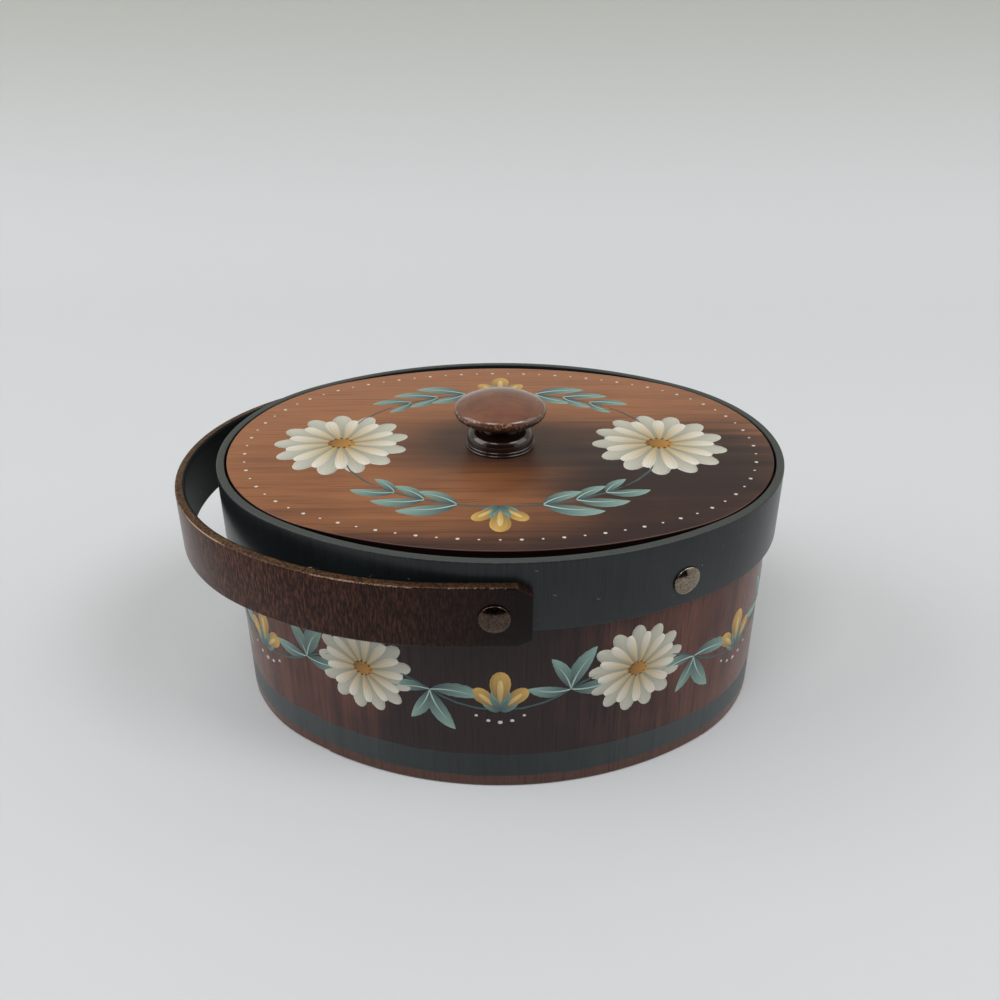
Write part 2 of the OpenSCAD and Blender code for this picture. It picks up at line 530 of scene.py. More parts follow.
class Nodes:
    """The nodes of a material or a sky, which lead to its shader."""

    def __init__(self, owner: Material | World, shader: str) -> None:
        """Takes up the nodes of a new material or sky.

        Args:
            owner: the material or the sky.
            shader: name of the node that the others lead to.
        """
        owner.use_nodes = True
        self.tree = owner.node_tree
        self.shader = self.tree.nodes[shader]

    def add(self, kind: Kind, inputs: dict | None = None, output: str = "") -> NodeSocket:
        """Adds a node with its settings and links.

        Args:
            kind: kind of node, with its own settings.
            inputs: a value, a hex colour or a socket for each input, by name or number.
            output: name of the output that is wanted, if it isn't the first one in use.

        Returns:
            The node's output.
        """
        node = self.tree.nodes.new(kind.name)
        for name, value in kind.settings.items():
            setattr(node, name, value)
        self.feed(node, inputs or {})
        if output:
            return node.outputs[output]
        return next(socket for socket in node.outputs if socket.enabled)

    def feed(self, node: ShaderNode, inputs: dict) -> None:
        """Sets or links a node's inputs.

        Args:
            node: the node.
            inputs: a value, a hex colour or a socket for each input, as in add.
        """
        for key, value in inputs.items():
            if isinstance(value, NodeSocket):
                self.tree.links.new(value, node.inputs[key])
            elif isinstance(value, str):
                node.inputs[key].default_value = linear(value)
            else:
                node.inputs[key].default_value = value


class Graph(Nodes):
    """A new material's nodes, which lead to its Principled shader."""

    def __init__(self, name: str) -> None:
        """Starts a material.

        Args:
            name: name of the material.
        """
        self.material = bpy.data.materials.new(name)
        super().__init__(self.material, "Principled BSDF")
        self.place = self.add(COORDINATES, output="Object")

    def finish(self, inputs: dict) -> Material:
        """Sets or links the shader's inputs and gives the material."""
        self.feed(self.shader, inputs)
        return self.material

    def streaks(self, spread: Vector, detail: float = 3.0, waver: float = 0.0) -> NodeSocket:
        """Draws noise out along the grain.

        Args:
            spread: size of a streak along X, Y and Z.
            detail: number of finer layers in it.
            waver: how far the streaks wander.

        Returns:
            The pattern, about 0.5 on average.
        """
        scale = Vector([1 / size for size in spread])
        drawn = self.add(MAPPING, {"Vector": self.place, "Scale": scale})
        return self.add(NOISE, {"Vector": drawn, "Scale": 1.0, "Detail": detail, "Distortion": waver})

    def clouds(self, size: float) -> NodeSocket:
        """Gives soft patches of one size, about 0.5 on average."""
        return self.streaks(Vector.Fill(3, size), detail=2.0)

    def coats(
        self, ground: NodeSocket | str, *coats: tuple[NodeSocket, NodeSocket | str]
    ) -> NodeSocket:
        """Lays coats of colour on a ground, one over another.

        Args:
            ground: colour under the coats.
            coats: for each coat, how far it covers what lies under it, and its colour.

        Returns:
            The colour that shows.
        """
        colour = ground
        for cover, coat in coats:
            colour = self.add(COAT, {COVER: cover, UNDER: colour, OVER: coat})
        return colour


@dataclass(frozen=True)
class GlazedBirch:
    """The lid's board: birch, stained red-brown, shaded with dark glaze and varnished.

    The long grain shows through as fine pores in soft lighter and darker bands. The glaze leaves
    the left end orange, and is laid deep over the right and along the front. A painted shadow
    darkens the board round the knob. The very top of the board's edge is paler, partly rubbed
    and partly a painted highlight, and its side is painted nearly black as shade in the gap.

    Attributes:
        plan: plan of the board.
        top: height of the board's top.
        light, deep: colours under the thinnest and under the deepest glaze.
        pore, shade: colours of a pore and of the painted shadow round the knob.
        worn, edge: colours of the rubbed edge with painted highlight and of the side's painted shade.
        pores: length and width of a pore, drawn wider than it is so that it shows.
        bands: length and width of a band of grain.
        patch: size of the glaze's cloudy patches.
        lean: how much the glaze deepens from the middle to the right end and to the front.
        pool_at: middle of the deepest glaze.
        pool: half sizes of the deepest glaze.
        pool_fades: distances, in half sizes, between which the deepest glaze fades out.
        front: distances from the front edge between which the glaze there fades out.
        knob_shadow: half sizes of the painted shadow round the knob.
        knob_shadow_fades: distances, in half sizes, between which that painted shadow fades out.
        rubbed_at: depths below the top between which the rubbing and painted highlight set in.
        shaded_side_at: depths below the top between which the side's painted shade sets in.
    """

    plan: Oval
    top: float
    light: str = "#A0663F"
    deep: str = "#2E1A17"
    pore: str = "#2A1713"
    shade: str = "#2A211F"
    worn: str = "#8E6258"
    edge: str = "#120B0A"
    pores: tuple[float, float] = (30 * MM, 0.55 * MM)
    bands: tuple[float, float] = (120 * MM, 7 * MM)
    patch: float = 45 * MM
    lean: tuple[float, float] = (0.1, 0.2)
    pool_at: tuple[float, float, float] = (74 * MM, -30 * MM, 0)
    pool: tuple[float, float, float] = (50 * MM, 40 * MM, 1)
    pool_fades: tuple[float, float] = (0.2, 1.9)
    front: tuple[float, float] = (1 * MM, 21 * MM)
    knob_shadow: tuple[float, float, float] = (82 * MM, 42 * MM, 1)
    knob_shadow_fades: tuple[float, float] = (0.25, 1.0)
    rubbed_at: tuple[float, float] = (0.02 * MM, 0.2 * MM)
    shaded_side_at: tuple[float, float] = (0.25 * MM, 0.6 * MM)

    def make(self) -> Material:
        """Builds the material.

        Returns:
            The lid's finish.
        """
        graph = Graph("stained_birch_under_glaze")
        pores = graph.streaks(GrainRun.LENGTHWISE.spread(*self.pores))
        bands = graph.streaks(GrainRun.LENGTHWISE.spread(*self.bands), waver=0.6)
        pitted = graph.add(EASE, {"Value": pores, **PORE_OPENS, "To Max": 0.55})
        height = graph.add(SPLIT, {0: graph.place}, "Z")
        # The rubbed edge carries a painted highlight, and the dark side is painted shade in the gap
        rubbed, side = (
            graph.add(
                EASE,
                {
                    "Value": height,
                    "From Min": self.top - least,
                    "From Max": self.top - most,
                    "To Max": strength,
                },
            )
            for (least, most), strength in ((self.rubbed_at, 0.6), (self.shaded_side_at, 1.0))
        )
        colour = graph.coats(
            self.light,
            (self.glaze(graph, bands), self.deep),
            (pitted, self.pore),
            # Painted shadow: the board is darkened round the knob's foot
            (self.oval_shade(graph, (0, 0, self.top), self.knob_shadow, self.knob_shadow_fades), self.shade),
            (rubbed, self.worn),
            (side, self.edge),
        )
        return graph.finish(
            {
                "Base Color": colour,
                "Roughness": graph.add(RAMP, {"Value": bands, "To Min": 0.26, "To Max": 0.42}),
                "Specular IOR Level": 0.35,
                "Normal": graph.add(BUMP, {"Strength": 0.25, "Distance": 0.06 * MM, "Height": pores}),
            }
        )

    def glaze(self, graph: Graph, bands: NodeSocket) -> NodeSocket:
        """Lays the glaze in bands and patches, pooled at the right and along the front.

        Args:
            graph: the material's nodes.
            bands: pattern of the bands of grain.

        Returns:
            Depth of the glaze, from 0 to 1.
        """
        right, front = self.lean
        tilt = Vector((right / self.plan.half_length, -front / self.plan.half_width, 0))
        leaning = graph.add(ALONG, {0: graph.place, 1: tilt})
        patchy = graph.add(TIMES_PLUS, {0: graph.clouds(self.patch), 1: 0.6, 2: leaning})
        banded = graph.add(TIMES_PLUS, {0: bands, 1: 0.8, 2: patchy})
        near, far = self.front
        fronted = graph.add(
            EASE,
            {
                "Value": graph.add(SPLIT, {0: graph.place}, "Y"),
                "From Min": far - self.plan.half_width,
                "From Max": near - self.plan.half_width,
                "To Max": 0.55,
            },
        )
        pooled = self.oval_shade(graph, self.pool_at, self.pool, self.pool_fades)
        deeper = graph.add(PLUS, {0: pooled, 1: fronted})
        laid = graph.add(PLUS, {0: banded, 1: deeper})
        return graph.add(EASE, {"Value": laid, "From Min": 0.45, "From Max": 1.55})

    def oval_shade(
        self, graph: Graph, middle: Sequence[float], half_sizes: Sequence[float], fades: Sequence[float]
    ) -> NodeSocket:
        """Shades an oval patch, most in its middle.

        Args:
            graph: the material's nodes.
            middle: middle of the patch.
            half_sizes: half sizes of the patch.
            fades: distances, in half sizes, between which the shade fades out.

        Returns:
            Strength of the shade.
        """
        measured = graph.add(MEASURE, {"Vector": graph.place, "Location": middle, "Scale": half_sizes})
        away = graph.add(LENGTH, {0: measured})
        near, far = fades
        return graph.add(EASE, {"Value": away, "From Min": far, "From Max": near, "To Max": 0.75})


@dataclass(frozen=True)
class StainedVeneer:
    """The outside of the bent side: thin birch veneer, stained, glazed and striped with paint.

    The grain stands upright. The long sides are nearly black-brown in the middle, partly glaze and
    partly painted shade, and are painted lighter and redder towards the ends as sheen. A slate
    stripe with an uneven edge, also painted paler towards the ends as sheen, runs round above a
    reddish strip at the foot, and the grain just shows through it.

    Attributes:
        half_length: half of the side's length along the box.
        stripe: heights of the stripe's lower and upper edges.
        deep, light: colours of the long sides' middle and ends, with painted shade and sheen.
        pore, foot: colours of a pore and of the strip at the foot.
        slate, pale_slate_sheen: colours of the stripe mid-side and of its pale bands and painted sheen.
        pores: length and width of a pore, drawn wider than it is so that it shows.
        bands: length and width of a band of grain.
        patch: size of the glaze's cloudy patches.
        wave: length of the waves in the stripe's edges.
        swerve: height of those waves.
        soft: half widths over which the stripe's lower and upper edges blur.
    """

    half_length: float
    stripe: tuple[float, float]
    deep: str = "#2E2020"
    light: str = "#70463B"
    pore: str = "#190F0E"
    foot: str = "#5F3F33"
    slate: str = "#2B3132"
    pale_slate_sheen: str = "#4A5152"
    pores: tuple[float, float] = (22 * MM, 0.6 * MM)
    bands: tuple[float, float] = (90 * MM, 5 * MM)
    patch: float = 38 * MM
    wave: float = 14 * MM
    swerve: float = 2 * MM
    soft: tuple[float, float] = (0.2 * MM, 0.3 * MM)

    def make(self) -> Material:
        """Builds the material.

        Returns:
            The finish of the side's outer face.
        """
        graph = Graph("stained_veneer_with_painted_stripe")
        pores = graph.streaks(GrainRun.UPRIGHT.spread(*self.pores))
        bands = graph.streaks(GrainRun.UPRIGHT.spread(*self.bands), waver=0.4)
        height = graph.add(SPLIT, {0: graph.place}, "Z")
        along = graph.add(SPLIT, {0: graph.place}, "X")
        away = graph.add(UNSIGNED, {0: along})
        # Painted sheen and shade: the side is painted lighter towards the ends, darker in the middle
        ends = graph.add(TIMES, {0: away, 1: 1 / self.half_length})
        patchy = graph.add(PLUS, {0: ends, 1: graph.clouds(self.patch)})
        mixed = graph.add(TIMES_PLUS, {0: bands, 1: 0.9, 2: patchy})
        redder = graph.add(EASE, {"Value": mixed, "From Min": 1.15, "From Max": 2.05})
        low, high = self.stripe
        foot = graph.add(EASE, {"Value": height, "From Min": high, "From Max": low, "To Max": 0.85})
        pitted = graph.add(EASE, {"Value": pores, **PORE_OPENS, "To Max": 0.6})
        # Painted sheen: the stripe is painted paler towards the ends
        tone = graph.add(TIMES_PLUS, {0: bands, 1: 0.5, 2: ends})
        paler = graph.add(EASE, {"Value": tone, "From Min": 0.2, "From Max": 1.3})
        thin = graph.add(TIMES, {0: pitted, 1: 0.5})
        paint = graph.coats(self.slate, (paler, self.pale_slate_sheen), (thin, self.pore))
        stripe = self.stripe_cover(graph, height)
        colour = graph.coats(
            self.deep, (redder, self.light), (foot, self.foot), (pitted, self.pore), (stripe, paint)
        )
        return graph.finish(
            {
                "Base Color": colour,
                "Roughness": graph.add(RAMP, {"Value": stripe, "To Min": 0.27, "To Max": 0.4}),
                "Specular IOR Level": 0.25,
                "Normal": graph.add(BUMP, {"Strength": 0.3, "Distance": 0.08 * MM, "Height": pores}),
            }
        )

    def stripe_cover(self, graph: Graph, height: NodeSocket) -> NodeSocket:
        """Finds where the stripe lies, between its wavy edges.

        Args:
            graph: the material's nodes.
            height: height above the foot.

        Returns:
            Cover of the stripe's paint.
        """
        waves = graph.clouds(self.wave)
        uneven = graph.add(TIMES_PLUS, {0: waves, 1: self.swerve, 2: height})
        # The clouds average a half, so the waves lift the mean height by half of the swerve
        low, high = (edge + self.swerve / 2 for edge in self.stripe)
        low_soft, high_soft = self.soft
        above = graph.add(
            EASE, {"Value": uneven, "From Min": low - low_soft, "From Max": low + low_soft}
        )
        below = graph.add(
            EASE, {"Value": uneven, "From Min": high + high_soft, "From Max": high - high_soft}
        )
        return graph.add(TIMES, {0: above, 1: below})


@dataclass(frozen=True)
class BareVeneer:
    """Unpainted birch on the inside and the bottom: pale brown, matt, with fine brown pores.

    Attributes:
        name: name of the material.
        run: direction of the grain.
        light, deep, pore: colours of a light band, of a dark one and of a pore.
        pores: length and width of a pore, drawn wider than it is so that it shows.
        bands: length and width of a band of grain.
    """

    name: str
    run: GrainRun
    light: str = "#A67C58"
    deep: str = "#7E5A3E"
    pore: str = "#563A28"
    pores: tuple[float, float] = (24 * MM, 0.6 * MM)
    bands: tuple[float, float] = (110 * MM, 7 * MM)

    def make(self) -> Material:
        """Builds the material.

        Returns:
            The bare wood's finish.
        """
        graph = Graph(self.name)
        pores = graph.streaks(self.run.spread(*self.pores))
        bands = graph.streaks(self.run.spread(*self.bands), waver=0.5)
        pitted = graph.add(EASE, {"Value": pores, **PORE_OPENS, "To Max": 0.55})
        return graph.finish(
            {
                "Base Color": graph.coats(self.light, (bands, self.deep), (pitted, self.pore)),
                "Roughness": 0.62,
                "IOR": 1.5,
                "Normal": graph.add(BUMP, {"Strength": 0.3, "Distance": 0.08 * MM, "Height": pores}),
            }
        )


@dataclass(frozen=True)
class SlatePaint:
    """Slate-grey paint, brushed thin over wood: satin, with the upright grain just showing.

    It is rubbed paler along its top edge and has a few small pale chips.

    Attributes:
        name: name of the material.
        top: height of the edge that is rubbed.
        deep, pale: colours of the darkest and of the palest paint.
        rubbed, chipped: colours of the rubbed edge and of a chip.
        grain: length and width of a line of grain, drawn wider than it is so that it shows.
        patch: size of the cloudy patches.
        fray: size of the notches in the rubbed edge's border.
        frays_at: heights about the top, in notches, between which the rubbing sets in.
        chip: length and width of a chip.
        shine: strength of its reflections.
        rough: roughness where it isn't rubbed.
    """

    name: str
    top: float
    deep: str = "#161A1B"
    pale: str = "#272C2E"
    rubbed: str = "#454945"
    chipped: str = "#868C8B"
    grain: tuple[float, float] = (16 * MM, 0.45 * MM)
    patch: float = 40 * MM
    fray: float = 0.8 * MM
    frays_at: tuple[float, float] = (-0.3, 0.4)
    chip: tuple[float, float] = (4.0 * MM, 1.3 * MM)
    shine: float = 0.3
    rough: float = 0.3

    def make(self) -> Material:
        """Builds the material.

        Returns:
            The painted finish.
        """
        graph = Graph(self.name)
        grain = graph.streaks(GrainRun.UPRIGHT.spread(*self.grain))
        tone = graph.add(PLUS, {0: grain, 1: graph.clouds(self.patch)})
        paler = graph.add(EASE, {"Value": tone, "From Min": 0.6, "From Max": 1.4})
        height = graph.add(SPLIT, {0: graph.place}, "Z")
        frayed = graph.add(TIMES_PLUS, {0: graph.clouds(self.fray), 1: self.fray, 2: height})
        start, end = (self.top + notches * self.fray for notches in self.frays_at)
        edge = graph.add(EASE, {"Value": frayed, "From Min": start, "From Max": end, "To Max": 0.9})
        knocks = graph.streaks(GrainRun.LENGTHWISE.spread(*self.chip))
        chips = graph.add(EASE, {"Value": knocks, "From Min": 0.72, "From Max": 0.76, "To Max": 0.6})
        return graph.finish(
            {
                "Base Color": graph.coats(
                    self.deep, (paler, self.pale), (edge, self.rubbed), (chips, self.chipped)
                ),
                "Roughness": graph.add(RAMP, {"Value": edge, "To Min": self.rough, "To Max": 0.5}),
                "Specular IOR Level": self.shine,
                "Normal": graph.add(BUMP, {"Strength": 0.25, "Distance": 0.06 * MM, "Height": grain}),
            }
        )


@dataclass(frozen=True)
class WalnutStrip:
    """The handle: a bent strip of stained hardwood with short open pores under varnish.

    The pores run across the strip as short dark ticks between redder flecks, and painted shade
    darkens it towards the riveted ends. Its upper edge is rubbed to a mottled tan, with painted
    glints in specks along the corner. Ticks and flecks are drawn about twice as wide as they
    are, or they wouldn't show.

    Attributes:
        name: name of the material.
        pivot_x: place of the rivets along the box.
        top: height of the strip's upper edge.
        deep, fleck: colours between the flecks and on them.
        pore: colour of a pore and of the painted shade at the ends.
        stain, rubbed: colours of the upper edge where stain is left and where it is rubbed off.
        painted_glint: colour of the painted highlight specks along the corner.
        ticks: length and width of a pore.
        flecks: length and width of a fleck.
        mottle: size of the rubbed edge's patches.
        speck: size of the painted highlight specks.
        patch: size of the stretches in which the specks are thick or thin.
        corner: height of the rubbed corner, which carries the painted highlight specks.
        rubbed_at: heights about the upper edge between which the mottled rubbing sets in.
        end_shade_span: distances before and past the rivets across which painted shade deepens.
        stained: strength of the painted shade at the ends.
    """

    name: str
    pivot_x: float
    top: float
    deep: str = "#2E1711"
    fleck: str = "#6C4232"
    pore: str = "#120706"
    stain: str = "#2B1B14"
    rubbed: str = "#66492F"
    painted_glint: str = "#B89A80"
    ticks: tuple[float, float] = (2.2 * MM, 0.4 * MM)
    flecks: tuple[float, float] = (3.6 * MM, 0.7 * MM)
    mottle: float = 0.9 * MM
    speck: float = 0.6 * MM
    patch: float = 22 * MM
    corner: float = 0.8 * MM
    rubbed_at: tuple[float, float] = (-0.1 * MM, 0.25 * MM)
    end_shade_span: tuple[float, float] = (90 * MM, 10 * MM)
    stained: float = 1.0

    def make(self) -> Material:
        """Builds the material.

        Returns:
            The strip's finish.
        """
        graph = Graph(self.name)
        ticks = graph.streaks(GrainRun.UPRIGHT.spread(*self.ticks))
        flecks = graph.streaks(GrainRun.UPRIGHT.spread(*self.flecks))
        tone = graph.add(EASE, {"Value": flecks, "From Min": 0.36, "From Max": 0.74})
        pitted = graph.add(EASE, {"Value": ticks, "From Min": 0.48, "From Max": 0.68, "To Max": 0.85})
        # Painted shade: the strip darkens towards the riveted ends
        before, past = self.end_shade_span
        end_shade = graph.add(
            RAMP,
            {
                "Value": graph.add(SPLIT, {0: graph.place}, "X"),
                "From Min": self.pivot_x - before,
                "From Max": self.pivot_x + past,
                "To Max": self.stained,
            },
        )
        height = graph.add(SPLIT, {0: graph.place}, "Z")
        mottle = graph.clouds(self.mottle)
        ragged = graph.add(TIMES_PLUS, {0: mottle, 1: self.corner, 2: height})
        start, end = (self.top + rise for rise in self.rubbed_at)
        edge = graph.add(EASE, {"Value": ragged, "From Min": start, "From Max": end})
        thin = graph.add(EASE, {"Value": mottle, "From Min": 0.36, "From Max": 0.64})
        fading = graph.add(RAMP, {"Value": end_shade, "To Min": 1.0, "To Max": 0.25})
        bared = graph.add(TIMES, {0: thin, 1: fading})
        # Painted highlight: pale specks along the upper corner stand for glints on the rounded edge
        half = self.corner / 2
        glint_band = graph.add(WITHIN, {0: height, 1: self.top - half, 2: half / 2})
        patches = graph.clouds(self.patch)
        worn = graph.add(TIMES_PLUS, {0: graph.clouds(self.speck), 1: 0.7, 2: patches})
        specks = graph.add(EASE, {"Value": worn, "From Min": 0.78, "From Max": 1.0, "To Max": 0.85})
        colour = graph.coats(
            self.deep,
            (tone, self.fleck),
            (pitted, self.pore),
            (end_shade, self.pore),
            (edge, graph.coats(self.stain, (bared, self.rubbed))),
            (graph.add(TIMES, {0: glint_band, 1: specks}), self.painted_glint),
        )
        return graph.finish(
            {
                "Base Color": colour,
                "Roughness": graph.add(RAMP, {"Value": edge, "To Min": 0.24, "To Max": 0.38}),
                "Specular IOR Level": 0.14,
                "Normal": graph.add(DENT, {"Strength": 0.3, "Distance": 0.08 * MM, "Height": pitted}),
            }
        )


@dataclass(frozen=True)
class TurnedBirch:
    """The knob: birch turned on a lathe, stained and varnished to a high gloss.

    Under the rim it is dark: glaze on the neck and the foot, and painted shade under the head. The
    head is lighter, and its rim is rubbed through to bare wood in small specks.

    Attributes:
        rim: height of the head's widest line.
        head, blush: colours of the head and of its lighter patches.
        dark, bare: colours of the glaze and painted shade under the rim, and of bare wood.
        grain: length and width of a line of grain, drawn wider than it is so that it shows.
        patch: size of the stain's cloudy patches.
        glaze_and_shade_span: heights about the widest line over which glaze and painted shade fade.
        speck: size of a rubbed speck.
        rubbed_at: height of the rubbed belt's middle above the widest line.
        rubbed_by: half of the belt's height.
    """

    rim: float
    head: str = "#6B402E"
    blush: str = "#804F38"
    dark: str = "#140B09"
    bare: str = "#B38E6C"
    grain: tuple[float, float] = (14 * MM, 0.8 * MM)
    patch: float = 9 * MM
    glaze_and_shade_span: tuple[float, float] = (-1.5 * MM, 3 * MM)
    speck: float = 1.3 * MM
    rubbed_at: float = 0.4 * MM
    rubbed_by: float = 1.6 * MM

    def make(self) -> Material:
        """Builds the material.

        Returns:
            The knob's finish.
        """
        graph = Graph("turned_birch_under_varnish")
        grain = graph.streaks(GrainRun.LENGTHWISE.spread(*self.grain))
        patches = graph.clouds(self.patch)
        tone = graph.add(TIMES_PLUS, {0: grain, 1: 0.5, 2: patches})
        lighter = graph.add(EASE, {"Value": tone, "From Min": 0.5, "From Max": 1.0})
        height = graph.add(SPLIT, {0: graph.place}, "Z")
        # Glaze and painted shade: darker from just above the rim downwards
        low, high = (self.rim + rise for rise in self.glaze_and_shade_span)
        glaze_and_shade = graph.add(EASE, {"Value": height, "From Min": high, "From Max": low, "To Max": 0.9})
        belt = graph.add(WITHIN, {0: height, 1: self.rim + self.rubbed_at, 2: self.rubbed_by})
        specks = graph.add(
            EASE,
            {"Value": graph.clouds(self.speck), "From Min": 0.56, "From Max": 0.66, "To Max": 0.75},
        )
        rubbed = graph.add(TIMES, {0: belt, 1: specks})
        return graph.finish(
            {
                "Base Color": graph.coats(
                    self.head, (lighter, self.blush), (glaze_and_shade, self.dark), (rubbed, self.bare)
                ),
                "Roughness": graph.add(RAMP, {"Value": patches, "To Min": 0.1, "To Max": 0.26}),
                "IOR": 1.5,
                "Coat Weight": 0.4,
                "Coat Roughness": 0.1,
            }
        )


@dataclass(frozen=True)
class SpottedMetal:
    """A bare metal's shine, dulled and darkened in small cloudy spots.

    Attributes:
        name: name of the metal.
        metal, dull: colours where it is clean and where it is tarnished.
        spot: size of a spot.
        rough: roughness where it is clean and where it is tarnished.
    """

    name: str
    metal: str
    dull: str
    spot: float = 0.7 * MM
    rough: tuple[float, float] = (0.08, 0.3)

    def make(self) -> Material:
        """Builds the material.

        Returns:
            The metal's finish.
        """
        graph = Graph(self.name)
        spots = graph.clouds(self.spot)
        patch = graph.add(EASE, {"Value": spots, "From Min": 0.3, "From Max": 0.75})
        clean, tarnished = self.rough
        return graph.finish(
            {
                "Base Color": graph.coats(self.metal, (patch, self.dull)),
                "Metallic": 1.0,
                "Roughness": graph.add(RAMP, {"Value": patch, "To Min": clean, "To Max": tarnished}),
            }
        )


@dataclass(frozen=True)
class BrushPaint:
    """Artists' acrylic laid on in single strokes: body colour with the brush's hair marks.

    Attributes:
        attribute: colour attribute that the strokes carry.
        marks: number of hair marks across a stroke and along it.
    """

    attribute: str
    marks: tuple[float, float] = (9.0, 1.2)

    def make(self) -> Material:
        """Builds the material.

        Returns:
            The strokes' finish.
        """
        graph = Graph("acrylic_brush_strokes")
        laid = graph.add(Kind("ShaderNodeAttribute", {"attribute_name": self.attribute}), output="Color")
        unrolled = graph.add(COORDINATES, output="UV")
        drawn = graph.add(MAPPING, {"Vector": unrolled, "Scale": Vector((*self.marks, 1))})
        hairs = graph.add(NOISE, {"Vector": drawn, "Scale": 1.0, "Detail": 2.0})
        thin = graph.add(RAMP, {"Value": hairs, "From Min": 0.3, "From Max": 0.7, "To Min": 0.72})
        return graph.finish(
            {
                "Base Color": graph.add(SCALED, {0: laid, "Scale": thin}),
                "Roughness": 0.4,
                "IOR": 1.49,
                "Normal": graph.add(BUMP, {"Strength": 0.3, "Distance": 0.08 * MM, "Height": hairs}),
            }
        )


@dataclass(frozen=True)
class BentBox:
    """The side, bent round to an oval and lapped, and the board let in at its foot.

    Attributes:
        stripe_low: lower edge of the painted stripe.
        stripe_high: upper edge of the painted stripe.
        foot_round: rounding of the side's lower outer edge.
        lip_round: rounding of its other edges.
        lap_at: place of the lap's end, along the front from its middle.
        lap_run: length over which the lap is shaved thin.
        lap_depth: step at the lap's end.
        lap_face: width of the step.
    """

    stripe_low: float = 5.3 * MM
    stripe_high: float = 16.3 * MM
    foot_round: float = 1.0 * MM
    lip_round: float = 0.6 * MM
    lap_at: float = -73.0 * MM
    lap_run: float = 28.0 * MM
    lap_depth: float = 0.35 * MM
    lap_face: float = 0.2 * MM

    def build(self) -> None:
        """Makes the side and the bottom board."""
        low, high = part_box("body_side")
        board_low, board_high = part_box("bottom_board")
        outside = Oval.of_triangles(high.x, high.y)
        wall = high.y - board_high.y
        self.build_side(outside, wall, low.z, high.z)
        plan = Oval.of_triangles(board_high.x, board_high.y)
        board = cut_board(plan, board_low.z, board_high.z, self.lip_round)
        Piece("bottom_board_oval", Body.BOX, "bottom_wood", ("bottom_board",)).publish(
            board, [BareVeneer("bottom_birch", GrainRun.LENGTHWISE).make()]
        )

    def build_side(self, outside: Oval, wall: float, low: float, high: float) -> None:
        """Makes the bent side.

        Args:
            outside: plan of its outer face.
            wall: its thickness.
            low: height of its lower edge.
            high: height of its upper edge.
        """
        rounds = (self.foot_round, self.lip_round, self.lip_round, self.lip_round)
        section = Section(outside.half_width - wall, outside.half_width, low, high, rounds)
        mesh = sweep_ring(section, outside)
        self.cut_lap(mesh, outside, wall)
        for face in mesh.faces:
            face.material_index = int(outside.depth(face.calc_center_median()) > wall / 2)
        stained = StainedVeneer(outside.half_length, (self.stripe_low, self.stripe_high))
        Piece("bent_side", Body.BOX, "side_wood", ("body_side",)).publish(
            mesh, [stained.make(), BareVeneer("inside_birch", GrainRun.UPRIGHT).make()]
        )

    def cut_lap(self, mesh: BMesh, outside: Oval, wall: float) -> None:
        """Shaves the under side of the lap down to a step.

        Args:
            mesh: the ring of the side.
            outside: plan of its outer face.
            wall: its thickness.
        """
        arc = outside.turns()[0]
        for distance in (self.lap_at, self.lap_at + self.lap_face):
            angle = arc.start + distance / arc.radius
            across = Vector((-math.sin(angle), math.cos(angle), 0))
            near = [face for face in mesh.faces if face.calc_center_median().y < 0]
            parts = {part for face in near for part in (*face.verts, *face.edges)}
            bmesh.ops.bisect_plane(
                mesh, geom=[*near, *parts], dist=WELD, plane_co=arc.centre, plane_no=across
            )
        for vert in mesh.verts:
            out = vert.co - arc.centre
            run = (math.atan2(out.y, out.x) - arc.start) * arc.radius
            shaved = 1 - (self.lap_at - run) / self.lap_run
            on_face = vert.co.y < 0 and outside.depth(vert.co) < wall / 2
            if on_face and 0 < shaved <= 1 + WELD / self.lap_run:
                inwards = Vector((-out.x, -out.y, 0)).normalized()
                vert.co += self.lap_depth * shaved * inwards


@dataclass(frozen=True)
class RimBand:
    """The painted band round the rim.

    Attributes:
        thickness: thickness of the band.
        top_round: rounding of its outer upper edge.
        edge_round: rounding of its other edges.
    """

    thickness: float = 3.2 * MM
    top_round: float = 0.9 * MM
    edge_round: float = 0.5 * MM

    def build(self) -> None:
        """Makes the band."""
        low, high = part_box("rim_band")
        rounds = (self.edge_round, self.top_round, self.edge_round, self.edge_round)
        section = Section(high.y - self.thickness, high.y, low.z, high.z, rounds)
        mesh = sweep_ring(section, Oval.of_triangles(high.x, high.y))
        Piece("painted_rim_band", Body.BOX, "band_paint", ("rim_band",)).publish(
            mesh, [SlatePaint("slate_paint_on_band", high.z).make()]
        )


